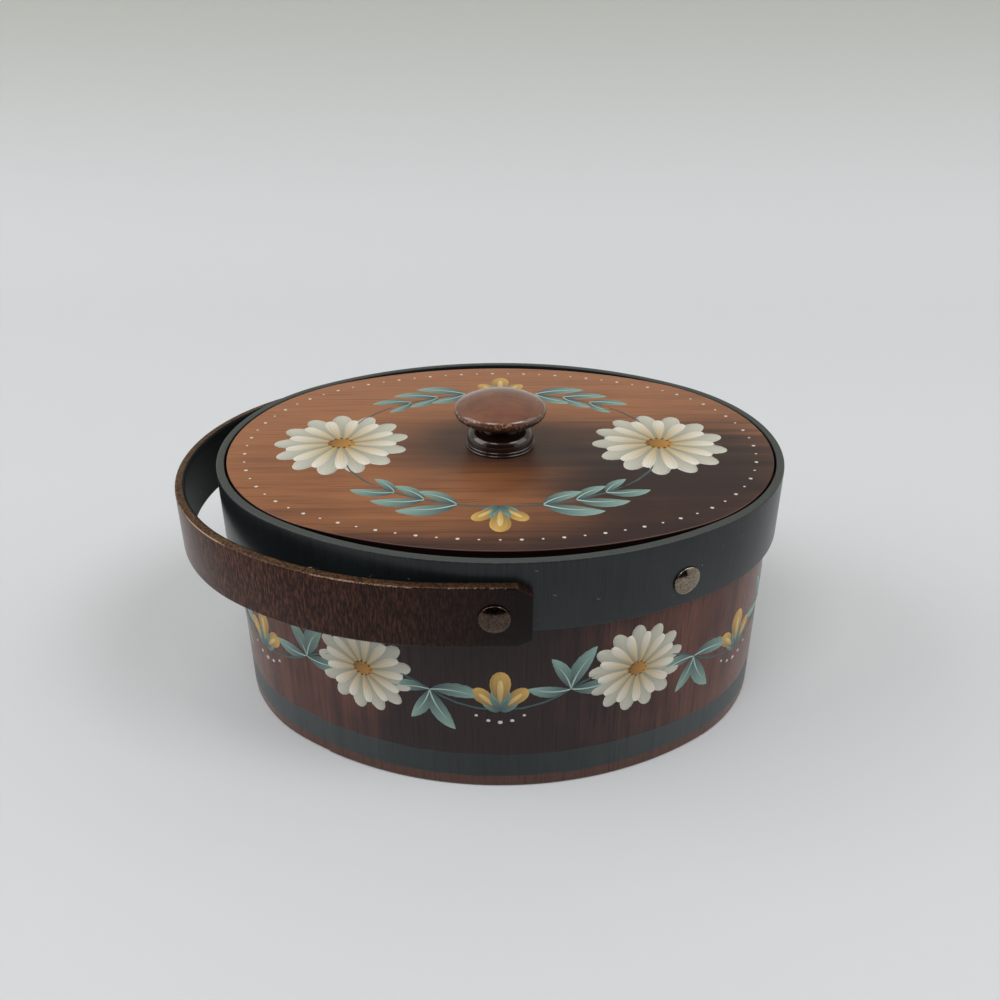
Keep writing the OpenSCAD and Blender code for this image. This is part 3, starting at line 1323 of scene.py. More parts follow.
@dataclass(frozen=True)
class RivetSet:
    """The domed rivets and their washers.

    Attributes:
        head_d: diameter of a head.
        edge_t: thickness of a head at its edge.
        edge_round: rounding of a head's lower edge and of a washer's edges.
        lip_round: rounding of a head's upper edge.
        dome_h: rise of a head above its edge.
        shank_d: diameter of a shank.
        burr_d: diameter of a washer.
        burr_t: thickness of a washer.
        tail_d: diameter of a hammered tail.
        tail_h: height of a hammered tail.
        band_turn: turn of the band's rivets about the long side's centre.
        steps: faces round a rivet.
    """

    head_d: float = 11.4 * MM
    edge_t: float = 0.6 * MM
    edge_round: float = 0.25 * MM
    lip_round: float = 0.45 * MM
    dome_h: float = 1.8 * MM
    shank_d: float = 4.0 * MM
    burr_d: float = 9.6 * MM
    burr_t: float = 1.0 * MM
    tail_d: float = 6.4 * MM
    tail_h: float = 1.2 * MM
    band_turn: float = math.radians(28.5)
    steps: int = 64

    def build(self) -> None:
        """Makes every rivet and washer in its place."""
        brass = SpottedMetal("aged_brass_rivets", "#94887A", "#5E5344").make()
        # Painted shade: the pivots are painted a darker brass than the band's rivets
        brown = SpottedMetal("brass_pivots_darkened_as_shade", "#58493F", "#352C26").make()
        plain = SpottedMetal("dull_brass_washers", "#9A8A60", "#5A4D34").make()
        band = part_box("rim_band")[1]
        centre = Oval.of_triangles(band.x, band.y).turns()[0].centre
        pivot = handle_pivot()
        for face, side in (("front", 1), ("back", -1)):
            self.place(f"{face}_pivot", pivot, Vector((0, -side, 0)), brown, plain)
            for hand, turn in (("left", -1), ("right", 1)):
                angle = turn * self.band_turn
                out = Vector((math.sin(angle), -side * math.cos(angle), 0))
                self.place(f"{face}_{hand}_band", side * centre, out, brass, plain)

    def place(self, stem: str, middle: Vector, out: Vector, brass: Material, plain: Material) -> None:
        """Makes one rivet and its washer.

        Args:
            stem: start of the names of the two solids.
            middle: a point over or under the rivet's axis.
            out: direction in which the head faces.
            brass: finish of the rivet.
            plain: finish of the washer.
        """
        low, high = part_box(f"{stem}_rivet")
        root = Vector((middle.x, middle.y, (low.z + high.z) / 2))
        inside = self.reach(f"{stem}_burr", root, out)
        grip = self.reach(f"{stem}_rivet", root, out) - self.edge_t - self.dome_h - inside
        turned = out.to_track_quat("Z", "Y").to_matrix().to_4x4()
        seat = Matrix.Translation(root + inside * out) @ turned
        for kind, mesh, finish in (("rivet", self.rivet(grip), brass), ("burr", self.burr(), plain)):
            bmesh.ops.transform(mesh, matrix=seat, verts=mesh.verts[:])
            solid = f"{stem}_{kind}"
            Piece(f"{solid}_domed", Body.BOX, f"{kind}_brass", (solid,)).publish(mesh, [finish])

    def reach(self, node: str, root: Vector, out: Vector) -> float:
        """Measures how far a solid reaches along a rivet's axis.

        Args:
            node: name of the solid.
            root: a point on the axis.
            out: direction of the axis.

        Returns:
            Distance from the point to the solid's outermost vertex.
        """
        return max((vert.co - root).dot(out) for vert in frame["nodes"][node].data.vertices)

    def rivet(self, grip: float) -> BMesh:
        """Models a rivet with its washer's inner face at the origin.

        Args:
            grip: length of the shank between the washer and the head.

        Returns:
            The closed rivet.
        """
        mesh = bmesh.new()
        edge = self.head_d / 2
        dome = (edge**2 + self.dome_h**2) / (2 * self.dome_h)
        dome_z = grip + self.edge_t + self.dome_h - dome
        lip_x = edge - self.lip_round
        lip_z = dome_z + math.sqrt((dome - self.lip_round) ** 2 - lip_x**2)
        slope = math.atan2(lip_z - dome_z, lip_x)
        tail = -self.burr_t - self.tail_h
        pen = ProfilePen(mesh, Vector((0, 0, tail)))
        for x, z in (
            (self.tail_d / 2 - 2 * self.edge_round, tail),
            (self.tail_d / 2, tail + 2 * self.edge_round),
            (self.tail_d / 2, -self.burr_t),
            (self.shank_d / 2, -self.burr_t),
            (self.shank_d / 2, grip),
            (edge - self.edge_round, grip),
        ):
            pen.line_to(Vector((x, 0, z)))
        pen.arc(Vector((edge - self.edge_round, 0, grip + self.edge_round)), math.pi / 2, ROUND_STEPS)
        pen.line_to(Vector((edge, 0, lip_z)))
        pen.arc(Vector((lip_x, 0, lip_z)), slope, ROUND_STEPS)
        pen.arc(Vector((0, 0, dome_z)), math.pi / 2 - slope, 4 * ROUND_STEPS)
        turn_on_lathe(mesh, self.steps)
        return mesh

    def burr(self) -> BMesh:
        """Models a washer with its outer face at the origin.

        Returns:
            The closed washer.
        """
        mesh = bmesh.new()
        rounds = (self.edge_round,) * 4
        Section(self.shank_d / 2, self.burr_d / 2, -self.burr_t, 0, rounds).draw(mesh)
        turn_on_lathe(mesh, self.steps)
        return mesh


@dataclass(frozen=True)
class SwingHandle:
    """The handle: a strip bent to a long U, held by a rivet near each end.

    Attributes:
        strip_w: width of the strip.
        strip_t: thickness of the strip.
        leg: straight run from each pivot to the bend.
        tail: length of each end past its pivot.
        chamfer_l: length of the cut on each corner of the ends.
        chamfer_w: width of that cut.
        edge_round: rounding of the strip's edges.
        end_round: rounding of the cut ends.
        end_steps: steps in that rounding.
        end_lean: least angle between the strip's run and a face of its sawn end.
        lining: darkest and palest colour of the paint inside the handle, painted darker as shade.
        sawn: colours of the wood and of its flecks on the sawn ends.
    """

    strip_w: float = 25.4 * MM
    strip_t: float = 4.0 * MM
    leg: float = 16.0 * MM
    tail: float = 13.2 * MM
    chamfer_l: float = 6.2 * MM
    chamfer_w: float = 3.6 * MM
    edge_round: float = 1.0 * MM
    end_round: float = 0.4 * MM
    end_steps: int = 3
    end_lean: float = math.radians(20)
    lining: tuple[str, str] = ("#0C0E0F", "#161A1C")
    sawn: tuple[str, str] = ("#2E1C14", "#4A3226")

    def build(self) -> None:
        """Makes the handle."""
        pivot = handle_pivot()
        low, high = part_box("handle")
        reach = pivot.x - low.x - self.strip_t
        bend = Oval.of_triangles(reach - self.leg, high.y - self.strip_t)
        mesh = self.bend_strip(bend)
        self.trim_ends(mesh)
        outside = bend.inset(-self.strip_t)
        inner = self.strip_t - self.edge_round
        painted, cut = 1, 2
        for face in mesh.faces:
            if self.is_cut_end(face):
                face.material_index = cut
            elif self.depth(face, outside) > inner:
                face.material_index = painted
        bmesh.ops.translate(mesh, verts=mesh.verts[:], vec=pivot)
        # The lining isn't rubbed, so the height of its rubbed edge lies well above the strip
        over = high.z + self.strip_w
        finishes = (
            WalnutStrip("stained_hardwood_strip", pivot.x, high.z),
            # Painted shade: the band's slate paint, darker inside the handle
            SlatePaint("slate_paint_in_handle_darkened_as_shade", over, *self.lining, shine=0.1, rough=0.5),
            # The sawn ends get a weaker painted shade than the strip's faces
            WalnutStrip("rubbed_hardwood_ends", pivot.x, high.z, *self.sawn, stained=0.4),
        )
        Piece("bent_handle", Body.HANDLE, "handle_wood", ("handle",)).publish(
            mesh, [finish.make() for finish in finishes]
        )

    def is_cut_end(self, face: BMFace) -> bool:
        """Tells whether a face belongs to the sawn end of a leg."""
        past_cut = face.calc_center_median().x > self.tail - self.chamfer_l
        return past_cut and face.normal.x > math.sin(self.end_lean)

    def depth(self, face: BMFace, outside: Oval) -> float:
        """Measures how deep a face lies in the strip.

        Args:
            face: a face of the strip.
            outside: plan of the bend's outer face.

        Returns:
            Distance of the face's middle from the strip's outer face.
        """
        centre = face.calc_center_median() + Vector((self.leg, 0, 0))
        if centre.x > 0:
            return outside.half_width - abs(centre.y)
        return outside.depth(centre)

    def bend_strip(self, bend: Oval) -> BMesh:
        """Runs the strip's section along one leg, round the bend and back along the other.

        Args:
            bend: plan of the bend's inner face.

        Returns:
            The strip with the pivot at the origin, open at its ends.
        """
        mesh = bmesh.new()
        half = self.strip_w / 2
        Section(
            bend.half_width, bend.half_width + self.strip_t, -half, half, (self.edge_round,) * 4
        ).draw(mesh)
        to_front(mesh)
        bmesh.ops.translate(mesh, verts=mesh.verts[:], vec=(self.tail, 0, 0))
        run = self.tail + self.leg
        edge = self.extrude(mesh, [*mesh.verts, *mesh.edges], -run)
        front, _, back, end, _ = bend.turns()
        for turn in (front, end, replace(back, sweep=back.sweep / 2)):
            centre = turn.centre - Vector((self.leg, 0, 0))
            edge = carry_round(mesh, edge, replace(turn, centre=centre), -UP)
        self.extrude(mesh, edge, run)
        weld(mesh)
        return mesh

    def extrude(self, mesh: BMesh, edge: EdgeLoop, run: float) -> EdgeLoop:
        """Extrudes a loop of edges along X.

        Args:
            mesh: the bmesh that holds the loop.
            edge: vertices and edges of the loop.
            run: distance to go.

        Returns:
            Vertices and edges of the new loop.
        """
        loop = [part for part in edge if not isinstance(part, BMVert)]
        made = bmesh.ops.extrude_edge_only(mesh, edges=loop)["geom"]
        verts = [part for part in made if isinstance(part, BMVert)]
        bmesh.ops.translate(mesh, verts=verts, vec=(run, 0, 0))
        ends = set(verts)
        sides = [part for part in made if isinstance(part, BMEdge)]
        rim = [side for side in sides if ends.issuperset(side.verts)]
        return [*verts, *rim]

    def trim_ends(self, mesh: BMesh) -> None:
        """Cuts the corners off the strip's ends, closes them and eases their edges.

        Args:
            mesh: the strip, open at its ends.
        """
        self.cap(mesh)
        half = self.strip_w / 2
        for edge in (-1, 1):
            bmesh.ops.bisect_plane(
                mesh,
                geom=[*mesh.verts, *mesh.edges, *mesh.faces],
                dist=WELD,
                plane_co=(self.tail - self.chamfer_l, 0, edge * half),
                plane_no=(self.chamfer_w, 0, edge * self.chamfer_l),
                clear_outer=True,
            )
            self.cap(mesh)
        face_out(mesh)
        cut_x = self.tail - self.chamfer_l - self.edge_round
        sharp = [
            edge
            for edge in mesh.edges
            if edge.calc_face_angle(0) > CREASE and min(v.co.x for v in edge.verts) > cut_x
        ]
        bmesh.ops.bevel(
            mesh,
            geom=sharp,
            offset=self.end_round,
            affect="EDGES",
            segments=self.end_steps,
            profile=0.5,
            material=-1,
            clamp_overlap=True,
        )

    def cap(self, mesh: BMesh) -> None:
        """Closes every open loop of edges."""
        rim = [edge for edge in mesh.edges if edge.is_boundary]
        bmesh.ops.holes_fill(mesh, edges=rim, sides=0)


@dataclass(frozen=True)
class DropInLid:
    """The lid's board and its turned knob.

    Attributes:
        edge_round: rounding of the board's edges.
        rim_z: height of the knob's widest line above the board.
        rim_r: radius of the knob's rim.
        neck_d: diameter of the knob's neck.
        hollow_r: radius of the hollow where the neck meets the head.
        foot_d: diameter of the foot across its lower bead.
        foot_h: height of the foot up to the top of its shoulder.
        shoulder_r: radius of the foot's round shoulder.
        beads_h: height of the two beads under the shoulder.
        bead_step: step inwards from one bead to the next and to the shoulder.
        steps: faces round the knob.
    """

    edge_round: float = 0.4 * MM
    rim_z: float = 15.6 * MM
    rim_r: float = 2.6 * MM
    neck_d: float = 16.4 * MM
    hollow_r: float = 2.6 * MM
    foot_d: float = 28.8 * MM
    foot_h: float = 7.8 * MM
    shoulder_r: float = 4.6 * MM
    beads_h: float = 2.4 * MM
    bead_step: float = 0.3 * MM
    steps: int = 96

    def build(self) -> None:
        """Makes the board and the knob, and dresses the screw."""
        low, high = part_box("lid_board")
        plan = lid_plan()
        board = cut_board(plan, low.z, high.z, self.edge_round)
        Piece("lid_oval", Body.LID, "lid_wood", ("lid_board",)).publish(
            board, [GlazedBirch(plan, high.z).make()]
        )
        knob_low, knob_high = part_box("knob")
        mesh = self.knob(knob_high.x, knob_high.z - knob_low.z)
        bmesh.ops.translate(mesh, verts=mesh.verts[:], vec=knob_low.z * UP)
        Piece("turned_knob", Body.LID, "knob_wood", ("knob",)).publish(
            mesh, [TurnedBirch(knob_low.z + self.rim_z).make()]
        )
        screw = frame["nodes"]["knob_screw"]
        screw.data.materials.clear()
        steel = SpottedMetal("zinc_plated_steel", "#9C9A93", "#6D6B65", 1.2 * MM, (0.25, 0.5))
        screw.data.materials.append(steel.make())
        LOG.info("knob_screw: dressed")

    def knob(self, half_d: float, height: float) -> BMesh:
        """Models the knob with its foot on the origin.

        Args:
            half_d: half of the head's diameter.
            height: height of the knob.

        Returns:
            The closed knob.
        """
        mesh = bmesh.new()
        bead = self.beads_h / 4
        bead_x = self.foot_d / 2 - bead
        shoulder = Vector((self.foot_d / 2 - 2 * self.bead_step, 0, self.foot_h))
        shoulder -= self.shoulder_r * Vector((1, 0, 1))
        tuck = math.asin((shoulder.z - self.beads_h) / self.shoulder_r)
        neck = self.neck_d / 2
        under_head = self.rim_z - self.rim_r
        rim_x = half_d - self.rim_r
        dome_h = height - self.rim_z
        dome = (rim_x**2 + dome_h**2 - self.rim_r**2) / (2 * (dome_h - self.rim_r))
        dome_z = height - dome
        slope = math.atan2(self.rim_z - dome_z, rim_x)
        pen = ProfilePen(mesh, Vector((0, 0, 0)))
        pen.line_to(Vector((bead_x, 0, 0)))
        pen.arc(Vector((bead_x, 0, bead)), math.pi, 4 * ROUND_STEPS)
        pen.line_to(Vector((bead_x - self.bead_step, 0, 2 * bead)))
        pen.arc(Vector((bead_x - self.bead_step, 0, 3 * bead)), math.pi, 4 * ROUND_STEPS)
        pen.line_to(Vector((shoulder.x + self.shoulder_r * math.cos(tuck), 0, self.beads_h)))
        pen.arc(shoulder, math.pi / 2 + tuck, 4 * ROUND_STEPS)
        pen.line_to(Vector((neck, 0, self.foot_h)))
        hollow_z = under_head - self.hollow_r
        pen.line_to(Vector((neck, 0, hollow_z)))
        pen.arc(Vector((neck + self.hollow_r, 0, hollow_z)), -math.pi / 2, 2 * ROUND_STEPS)
        pen.line_to(Vector((rim_x, 0, under_head)))
        pen.arc(Vector((rim_x, 0, self.rim_z)), math.pi / 2 + slope, 6 * ROUND_STEPS)
        pen.arc(Vector((0, 0, dome_z)), math.pi / 2 - slope, 4 * ROUND_STEPS)
        turn_on_lathe(mesh, self.steps)
        return mesh


class StrokeShape(Enum):
    """Outlines that a brush leaves."""

    PETAL = "petal"
    COMMA = "comma"
    LEAF = "leaf"
    DOT = "dot"
    LINE = "line"

    def width_at(self, share: float) -> float:
        """Gives the width of the stroke.

        Args:
            share: place along the stroke, from 0 to 1.

        Returns:
            Share of the stroke's full width there.
        """
        if self is StrokeShape.PETAL:
            widest, root = 0.68, 0.26
            if share > widest:
                return round_end((share - widest) / (1 - widest))
            ease = share / widest
            return root + (1 - root) * ease * ease * (3 - 2 * ease)
        if self is StrokeShape.COMMA:
            widest, taper = 0.24, 0.9
            if share < widest:
                return round_end((widest - share) / widest)
            return ((1 - share) / (1 - widest)) ** taper
        if self is StrokeShape.LEAF:
            fullness = 0.8
            return max(0, math.sin(math.pi * share)) ** fullness
        if self is StrokeShape.DOT:
            return round_end(2 * share - 1)
        end = 0.1
        return math.sqrt(min(1, share / end, (1 - share) / end))


def round_end(share: float) -> float:
    """Gives the half width of a circle of radius 1 at a distance from its middle."""
    return math.sqrt(max(0, 1 - share**2))


class Pigment(Enum):
    """Colours of a stroke where it starts and where it ends."""

    OUTER_PETAL = ("#8E8C78", "#D6D3C4")
    INNER_PETAL = ("#C2A05A", "#F1EDE0")
    HEART = ("#8A5A22", "#C98F35")
    SEED = ("#4B2C12", "#6B421C")
    BLADE = ("#2E474C", "#93B5AA")
    VEIN = ("#BCD3C8", "#BCD3C8")
    BUD = ("#7A5420", "#D9AE5A")
    BUD_LIGHT = ("#A87A33", "#EBD08C")
    SEPAL = ("#3B5558", "#7FA39B")
    STEM = ("#3D5A5C", "#3D5A5C")
    DOT = ("#DAD5C8", "#EEEAE0")


@dataclass(frozen=True)
class Stroke:
    """One brush stroke on an unrolled surface.

    Attributes:
        shape: outline of the stroke.
        length: length of the stroke.
        width: greatest width.
        pigment: colours of the stroke.
        heading: direction in which the brush sets off.
        bend: angle that it turns through on the way.
        layer: number of strokes under it.
        start: where the brush touches down.
    """

    shape: StrokeShape
    length: float
    width: float
    pigment: Pigment
    heading: float = 0.0
    bend: float = 0.0
    layer: int = 0
    start: Vector = Vector((0, 0)).freeze()

    def placed(self, root: Vector, aim: float, scale: float, bend: float = 0.0) -> "Stroke":
        """Gives a stroke like this one in another place.

        Args:
            root: where it starts.
            aim: angle that it is turned by.
            scale: factor of its length and width.
            bend: angle that it turns through besides its own bend.

        Returns:
            The placed stroke.
        """
        return replace(
            self,
            length=scale * self.length,
            width=scale * self.width,
            heading=self.heading + aim,
            bend=self.bend + bend,
            start=root,
        )

    def at(self, share: float) -> tuple[Vector, Vector]:
        """Follows the stroke's middle line, which is an arc.

        Args:
            share: place along the stroke, from 0 to 1.

        Returns:
            The point and the direction across the stroke there.
        """
        turned = self.heading + self.bend * share
        across = Vector((-math.sin(turned), math.cos(turned)))
        half = self.bend * share / 2
        chord = self.length * share * (math.sin(half) / half if half else 1)
        return self.start + chord * toward(self.heading + half), across


def dot(centre: Vector, size: float, pigment: Pigment = Pigment.DOT, layer: int = 0) -> Stroke:
    """Sets down a round dot of one diameter."""
    start = centre - Vector((size / 2, 0))
    return Stroke(StrokeShape.DOT, size, size, pigment, layer=layer, start=start)


class Motif(Enum):
    """Strokes that leave one point: a leaf with a pale vein, or an ochre bud in slate sepals."""

    LEAF = (
        Stroke(StrokeShape.LEAF, 1.0, 0.36, Pigment.BLADE),
        Stroke(StrokeShape.COMMA, 0.82, 0.05, Pigment.VEIN, layer=3),
    )
    BUD = (
        Stroke(StrokeShape.PETAL, 1.0, 0.5, Pigment.BUD, layer=1),
        Stroke(StrokeShape.PETAL, 0.8, 0.22, Pigment.BUD_LIGHT, layer=3),
        Stroke(StrokeShape.COMMA, 0.62, 0.2, Pigment.SEPAL, heading=-0.9, bend=1.3, layer=4),
        Stroke(StrokeShape.COMMA, 0.62, 0.2, Pigment.SEPAL, heading=0.9, bend=-1.3, layer=4),
    )

    def strokes(self, root: Vector, aim: float, length: float, bend: float = 0.0) -> list[Stroke]:
        """Paints the motif in a place, at a length."""
        return [stroke.placed(root, aim, length, bend) for stroke in self.value]


@dataclass(frozen=True)
class Daisy:
    """A daisy with a radius of 1, of two rings of petals round a heart with seeds.

    Attributes:
        outer: a petal of the outer ring.
        inner: a petal of the inner ring, whose petals lie between the outer ones.
        petals: petals in a ring.
        root: distance of the petals' roots from the middle.
        heart: diameter of the heart.
        seeds: seeds on the heart.
        seed_ring: distance of the seeds from the middle.
        seed: diameter of a seed.
    """

    outer: Stroke = Stroke(StrokeShape.PETAL, 0.868, 0.36, Pigment.OUTER_PETAL, bend=0.16)
    inner: Stroke = Stroke(StrokeShape.PETAL, 0.688, 0.3, Pigment.INNER_PETAL, bend=0.16, layer=2)
    petals: int = 13
    root: float = 0.132
    heart: float = 0.44
    seeds: int = 11
    seed_ring: float = 0.1584
    seed: float = 0.0484

    def strokes(self, centre: Vector, radius: float, turn: float) -> list[Stroke]:
        """Paints the daisy.

        Args:
            centre: middle of the flower.
            radius: reach of its outer petals.
            turn: angle of its first petal.

        Returns:
            The strokes.
        """
        strokes = []
        for petal, offset in ((self.outer, 0), (self.inner, 0.5)):
            for number in range(self.petals):
                aim = turn + 2 * math.pi * (number + offset) / self.petals
                root = centre + self.root * radius * toward(aim)
                lapped = replace(petal, layer=petal.layer + number % 2)
                strokes.append(lapped.placed(root, aim, radius))
        strokes.append(dot(centre, self.heart * radius, Pigment.HEART, layer=5))
        for number in range(self.seeds):
            spot = centre + self.seed_ring * radius * toward(2 * math.pi * number / self.seeds)
            strokes.append(dot(spot, self.seed * radius, Pigment.SEED, layer=7))
        return strokes


class PaintedSurface(Protocol):
    """A surface that strokes are laid on."""

    def place(self, spot: Vector, rise: float) -> Vector:
        """Gives the point above a spot on the unrolled surface."""


@dataclass(frozen=True)
class LidTop:
    """The flat top of the lid, at its height."""

    height: float

    def place(self, spot: Vector, rise: float) -> Vector:
        """Gives the point above a spot on the lid."""
        return Vector((spot.x, spot.y, self.height + rise))


@dataclass(frozen=True)
class SideWall:
    """The outside of the bent side, unrolled along its plan from the middle of the front."""

    oval: Oval

    def place(self, spot: Vector, rise: float) -> Vector:
        """Gives the point outside a spot on the wall."""
        point, out = self.oval.at(spot.x)
        return point + rise * out + spot.y * UP


@dataclass(frozen=True)
class FolkBrush:
    """The brush that lays strokes of paint on a surface.

    Attributes:
        attribute: colour attribute that the strokes carry.
        film: height of the paint along the middle of a stroke.
        sink: depth of a stroke's edge below the surface.
        lift: height that each layer adds.
        full: half width, as a share of the greatest width, from which the paint stands full.
        shading: how much darker a stroke's left side is than its middle.
        rows: faces along a stroke.
        columns: faces across a stroke.
    """

    attribute: str = "stroke_colour"
    film: float = 0.16 * MM
    sink: float = 0.04 * MM
    lift: float = 0.05 * MM
    full: float = 0.15
    shading: float = 0.18
    rows: int = 10
    columns: int = 4

    def paint(
        self, strokes: Sequence[Stroke], surface: PaintedSurface, piece: Piece, paint: Material
    ) -> None:
        """Lays strokes on a surface as one thin piece.

        Args:
            strokes: the strokes, in any order.
            surface: what they are laid on.
            piece: what the model says of the piece.
            paint: finish that reads the strokes' colours.
        """
        mesh = bmesh.new()
        mesh.loops.layers.uv.new("stroke")
        colours = mesh.verts.layers.float_color.new(self.attribute)
        for stroke in strokes:
            fine = stroke.shape is not StrokeShape.DOT
            grid = bmesh.ops.create_grid(
                mesh,
                x_segments=self.columns,
                y_segments=self.rows if fine else self.rows // 2 + 1,
                size=1.0,
                calc_uvs=True,
            )
            for vert in grid["verts"]:
                self.lay(vert, stroke, surface, colours)
        weld(mesh)
        bmesh.ops.dissolve_degenerate(mesh, dist=WELD, edges=mesh.edges[:])
        bmesh.ops.recalc_face_normals(mesh, faces=mesh.faces[:])
        piece.publish(mesh, [paint])

    def lay(self, vert: BMVert, stroke: Stroke, surface: PaintedSurface, colours: BMLayerItem) -> None:
        """Moves one vertex of a grid to its place in a stroke.

        Args:
            vert: the vertex, between -1 and 1 across and along.
            stroke: the stroke that it belongs to.
            surface: what the stroke is laid on.
            colours: layer that takes the vertex's colour.
        """
        share = 0.5 - 0.5 * math.cos(math.pi * (vert.co.y + 1) / 2)
        side = vert.co.x
        middle, across = stroke.at(share)
        breadth = stroke.shape.width_at(share) * stroke.width / 2
        crown = (1 - side * side) * min(1, breadth / (self.full * stroke.width))
        rise = (self.film + self.sink) * crown - self.sink + self.lift * stroke.layer * crown
        root, tip = (linear(colour)[:3] for colour in stroke.pigment.value)
        shade = 1 - self.shading * side
        vert[colours] = (*[shade * (r + (t - r) * share) for r, t in zip(root, tip)], 1)
        vert.co = surface.place(middle + side * breadth * across, rise)


@dataclass(frozen=True)
class PaintedFlowers:
    """The painting: a wreath round the knob and a garland round the side.

    Attributes:
        brush: the painter's brush.
        daisy: the painter's daisy.
        stem_w: width of a stem.
        wreath: half sizes of the wreath's stem, which has a daisy at either end.
        lid_daisy: radius of the lid's daisies.
        lid_turn: angle of their first petal.
        leaf_pairs: for each pair of leaves, its distance from a spray and its leaves' length.
        pair: for each leaf of a pair, its angle to the stem, its bend and its share of the length.
        border: distance of the dotted border from the lid's edge.
        border_step: distance between the border's dots.
        border_dots: diameters of the border's dots, in turn.
        spray_buds: lengths of a spray's middle bud and of the buds beside it.
        spray_fan: angle between a spray's buds.
        repeats: times that the garland's pattern repeats round the side.
        swing: rise and fall of the garland's stem.
        side_daisy: radius of the side's daisies.
        side_turns: angle of the first side daisy, and the turn from each to the next.
        side_leaves: lengths of the garland's leaves along its stem and back.
        leaf_splay: angle between those leaves and the stem.
        leaf_curl: angle that they curl through.
        dots: for each dot under a spray, its place along the side, its drop and its diameter.
    """

    brush: FolkBrush = FolkBrush()
    daisy: Daisy = Daisy()
    stem_w: float = 1.1 * MM
    wreath: tuple[float, float] = (66.0 * MM, 53.0 * MM)
    lid_daisy: float = 28.0 * MM
    lid_turn: float = 0.2
    leaf_pairs: tuple[tuple[float, float], ...] = (
        (16 * MM, 24 * MM),
        (29 * MM, 21 * MM),
        (42 * MM, 18 * MM),
    )
    pair: tuple[tuple[float, float, float], ...] = ((-0.75, 0.7, 1.0), (0.7, -0.7, 0.8))
    border: float = 7.0 * MM
    border_step: float = 7.5 * MM
    border_dots: tuple[float, float] = (1.0 * MM, 1.5 * MM)
    spray_buds: tuple[float, float] = (18 * MM, 14 * MM)
    spray_fan: float = 0.8
    repeats: int = 6
    swing: float = 8.0 * MM
    side_daisy: float = 20.0 * MM
    side_turns: tuple[float, float] = (0.1, 0.4)
    side_leaves: tuple[float, float] = (21 * MM, 17 * MM)
    leaf_splay: float = 0.8
    leaf_curl: float = 0.6
    dots: tuple[tuple[float, float, float], ...] = (
        (-9 * MM, 2.8 * MM, 1.3 * MM),
        (-4.5 * MM, 5.2 * MM, 1.6 * MM),
        (0, 6 * MM, 1.9 * MM),
        (4.5 * MM, 5.2 * MM, 1.6 * MM),
        (9 * MM, 2.8 * MM, 1.3 * MM),
    )

    def build(self) -> None:
        """Paints the lid and the side."""
        paint = BrushPaint(self.brush.attribute).make()
        lid = LidTop(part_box("lid_board")[1].z)
        wreath = self.lid_strokes(lid_plan())
        self.brush.paint(wreath, lid, Piece("lid_wreath", Body.LID), paint)
        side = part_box("body_side")[1]
        wall = SideWall(Oval.of_triangles(side.x, side.y))
        middle = (BentBox.stripe_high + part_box("rim_band")[0].z) / 2
        garland = self.side_strokes(wall.oval.perimeter, middle)
        self.brush.paint(garland, wall, Piece("side_garland", Body.BOX), paint)

    def lid_strokes(self, board: Oval) -> list[Stroke]:
        """Lays out the wreath and the dotted border.

        Args:
            board: plan of the lid.

        Returns:
            The strokes on the lid.
        """
        strokes = []
        ring = Oval.of_triangles(*self.wreath)
        for turn in ring.turns():
            start = turn.centre.xy + turn.radius * toward(turn.start)
            strokes.append(self.stem(start, turn.start + math.pi / 2, turn.length, turn.sweep))
        for end in (-1, 1):
            centre = Vector((end * ring.half_length, 0))
            strokes += self.daisy.strokes(centre, self.lid_daisy, self.lid_turn)
        for face, first in ((-1, 0), (1, ring.perimeter / 2)):
            strokes += self.spray(Vector((0, face * ring.half_width)), face * math.pi / 2)
            for hand in (-1, 1):
                for distance, length in self.leaf_pairs:
                    strokes += self.leaf_pair(ring, first + hand * distance, hand, length)
        edge = board.inset(self.border)
        count = round(edge.perimeter / self.border_step)
        for number in range(count):
            spot = edge.at(edge.perimeter * number / count)[0].xy
            strokes.append(dot(spot, self.border_dots[number % 2]))
        return strokes

    def stem(self, start: Vector, heading: float, length: float, bend: float) -> Stroke:
        """Paints a stretch of stem."""
        width = self.stem_w
        return Stroke(StrokeShape.LINE, length, width, Pigment.STEM, heading, bend, start=start)

    def spray(self, root: Vector, aim: float) -> list[Stroke]:
        """Lays out three buds that fan out of one point.

        Args:
            root: the point.
            aim: direction of the middle bud.

        Returns:
            The buds' strokes.
        """
        strokes = []
        for side in (-1, 0, 1):
            length = self.spray_buds[abs(side)]
            strokes += Motif.BUD.strokes(root, aim + self.spray_fan * side, length)
        return strokes

    def leaf_pair(self, ring: Oval, distance: float, hand: int, length: float) -> list[Stroke]:
        """Lays out two leaves that leave a stem on either side.

        Args:
            ring: plan of the stem.
            distance: place along the stem.
            hand: direction of growth, 1 for anticlockwise.
            length: length of the outer leaf.

        Returns:
            The leaves' strokes.
        """
        point, out = ring.at(distance)
        growth = math.atan2(hand * out.x, -hand * out.y)
        strokes = []
        for lean, bend, share in self.pair:
            strokes += Motif.LEAF.strokes(point.xy, growth + lean * hand, share * length, bend * hand)
        return strokes

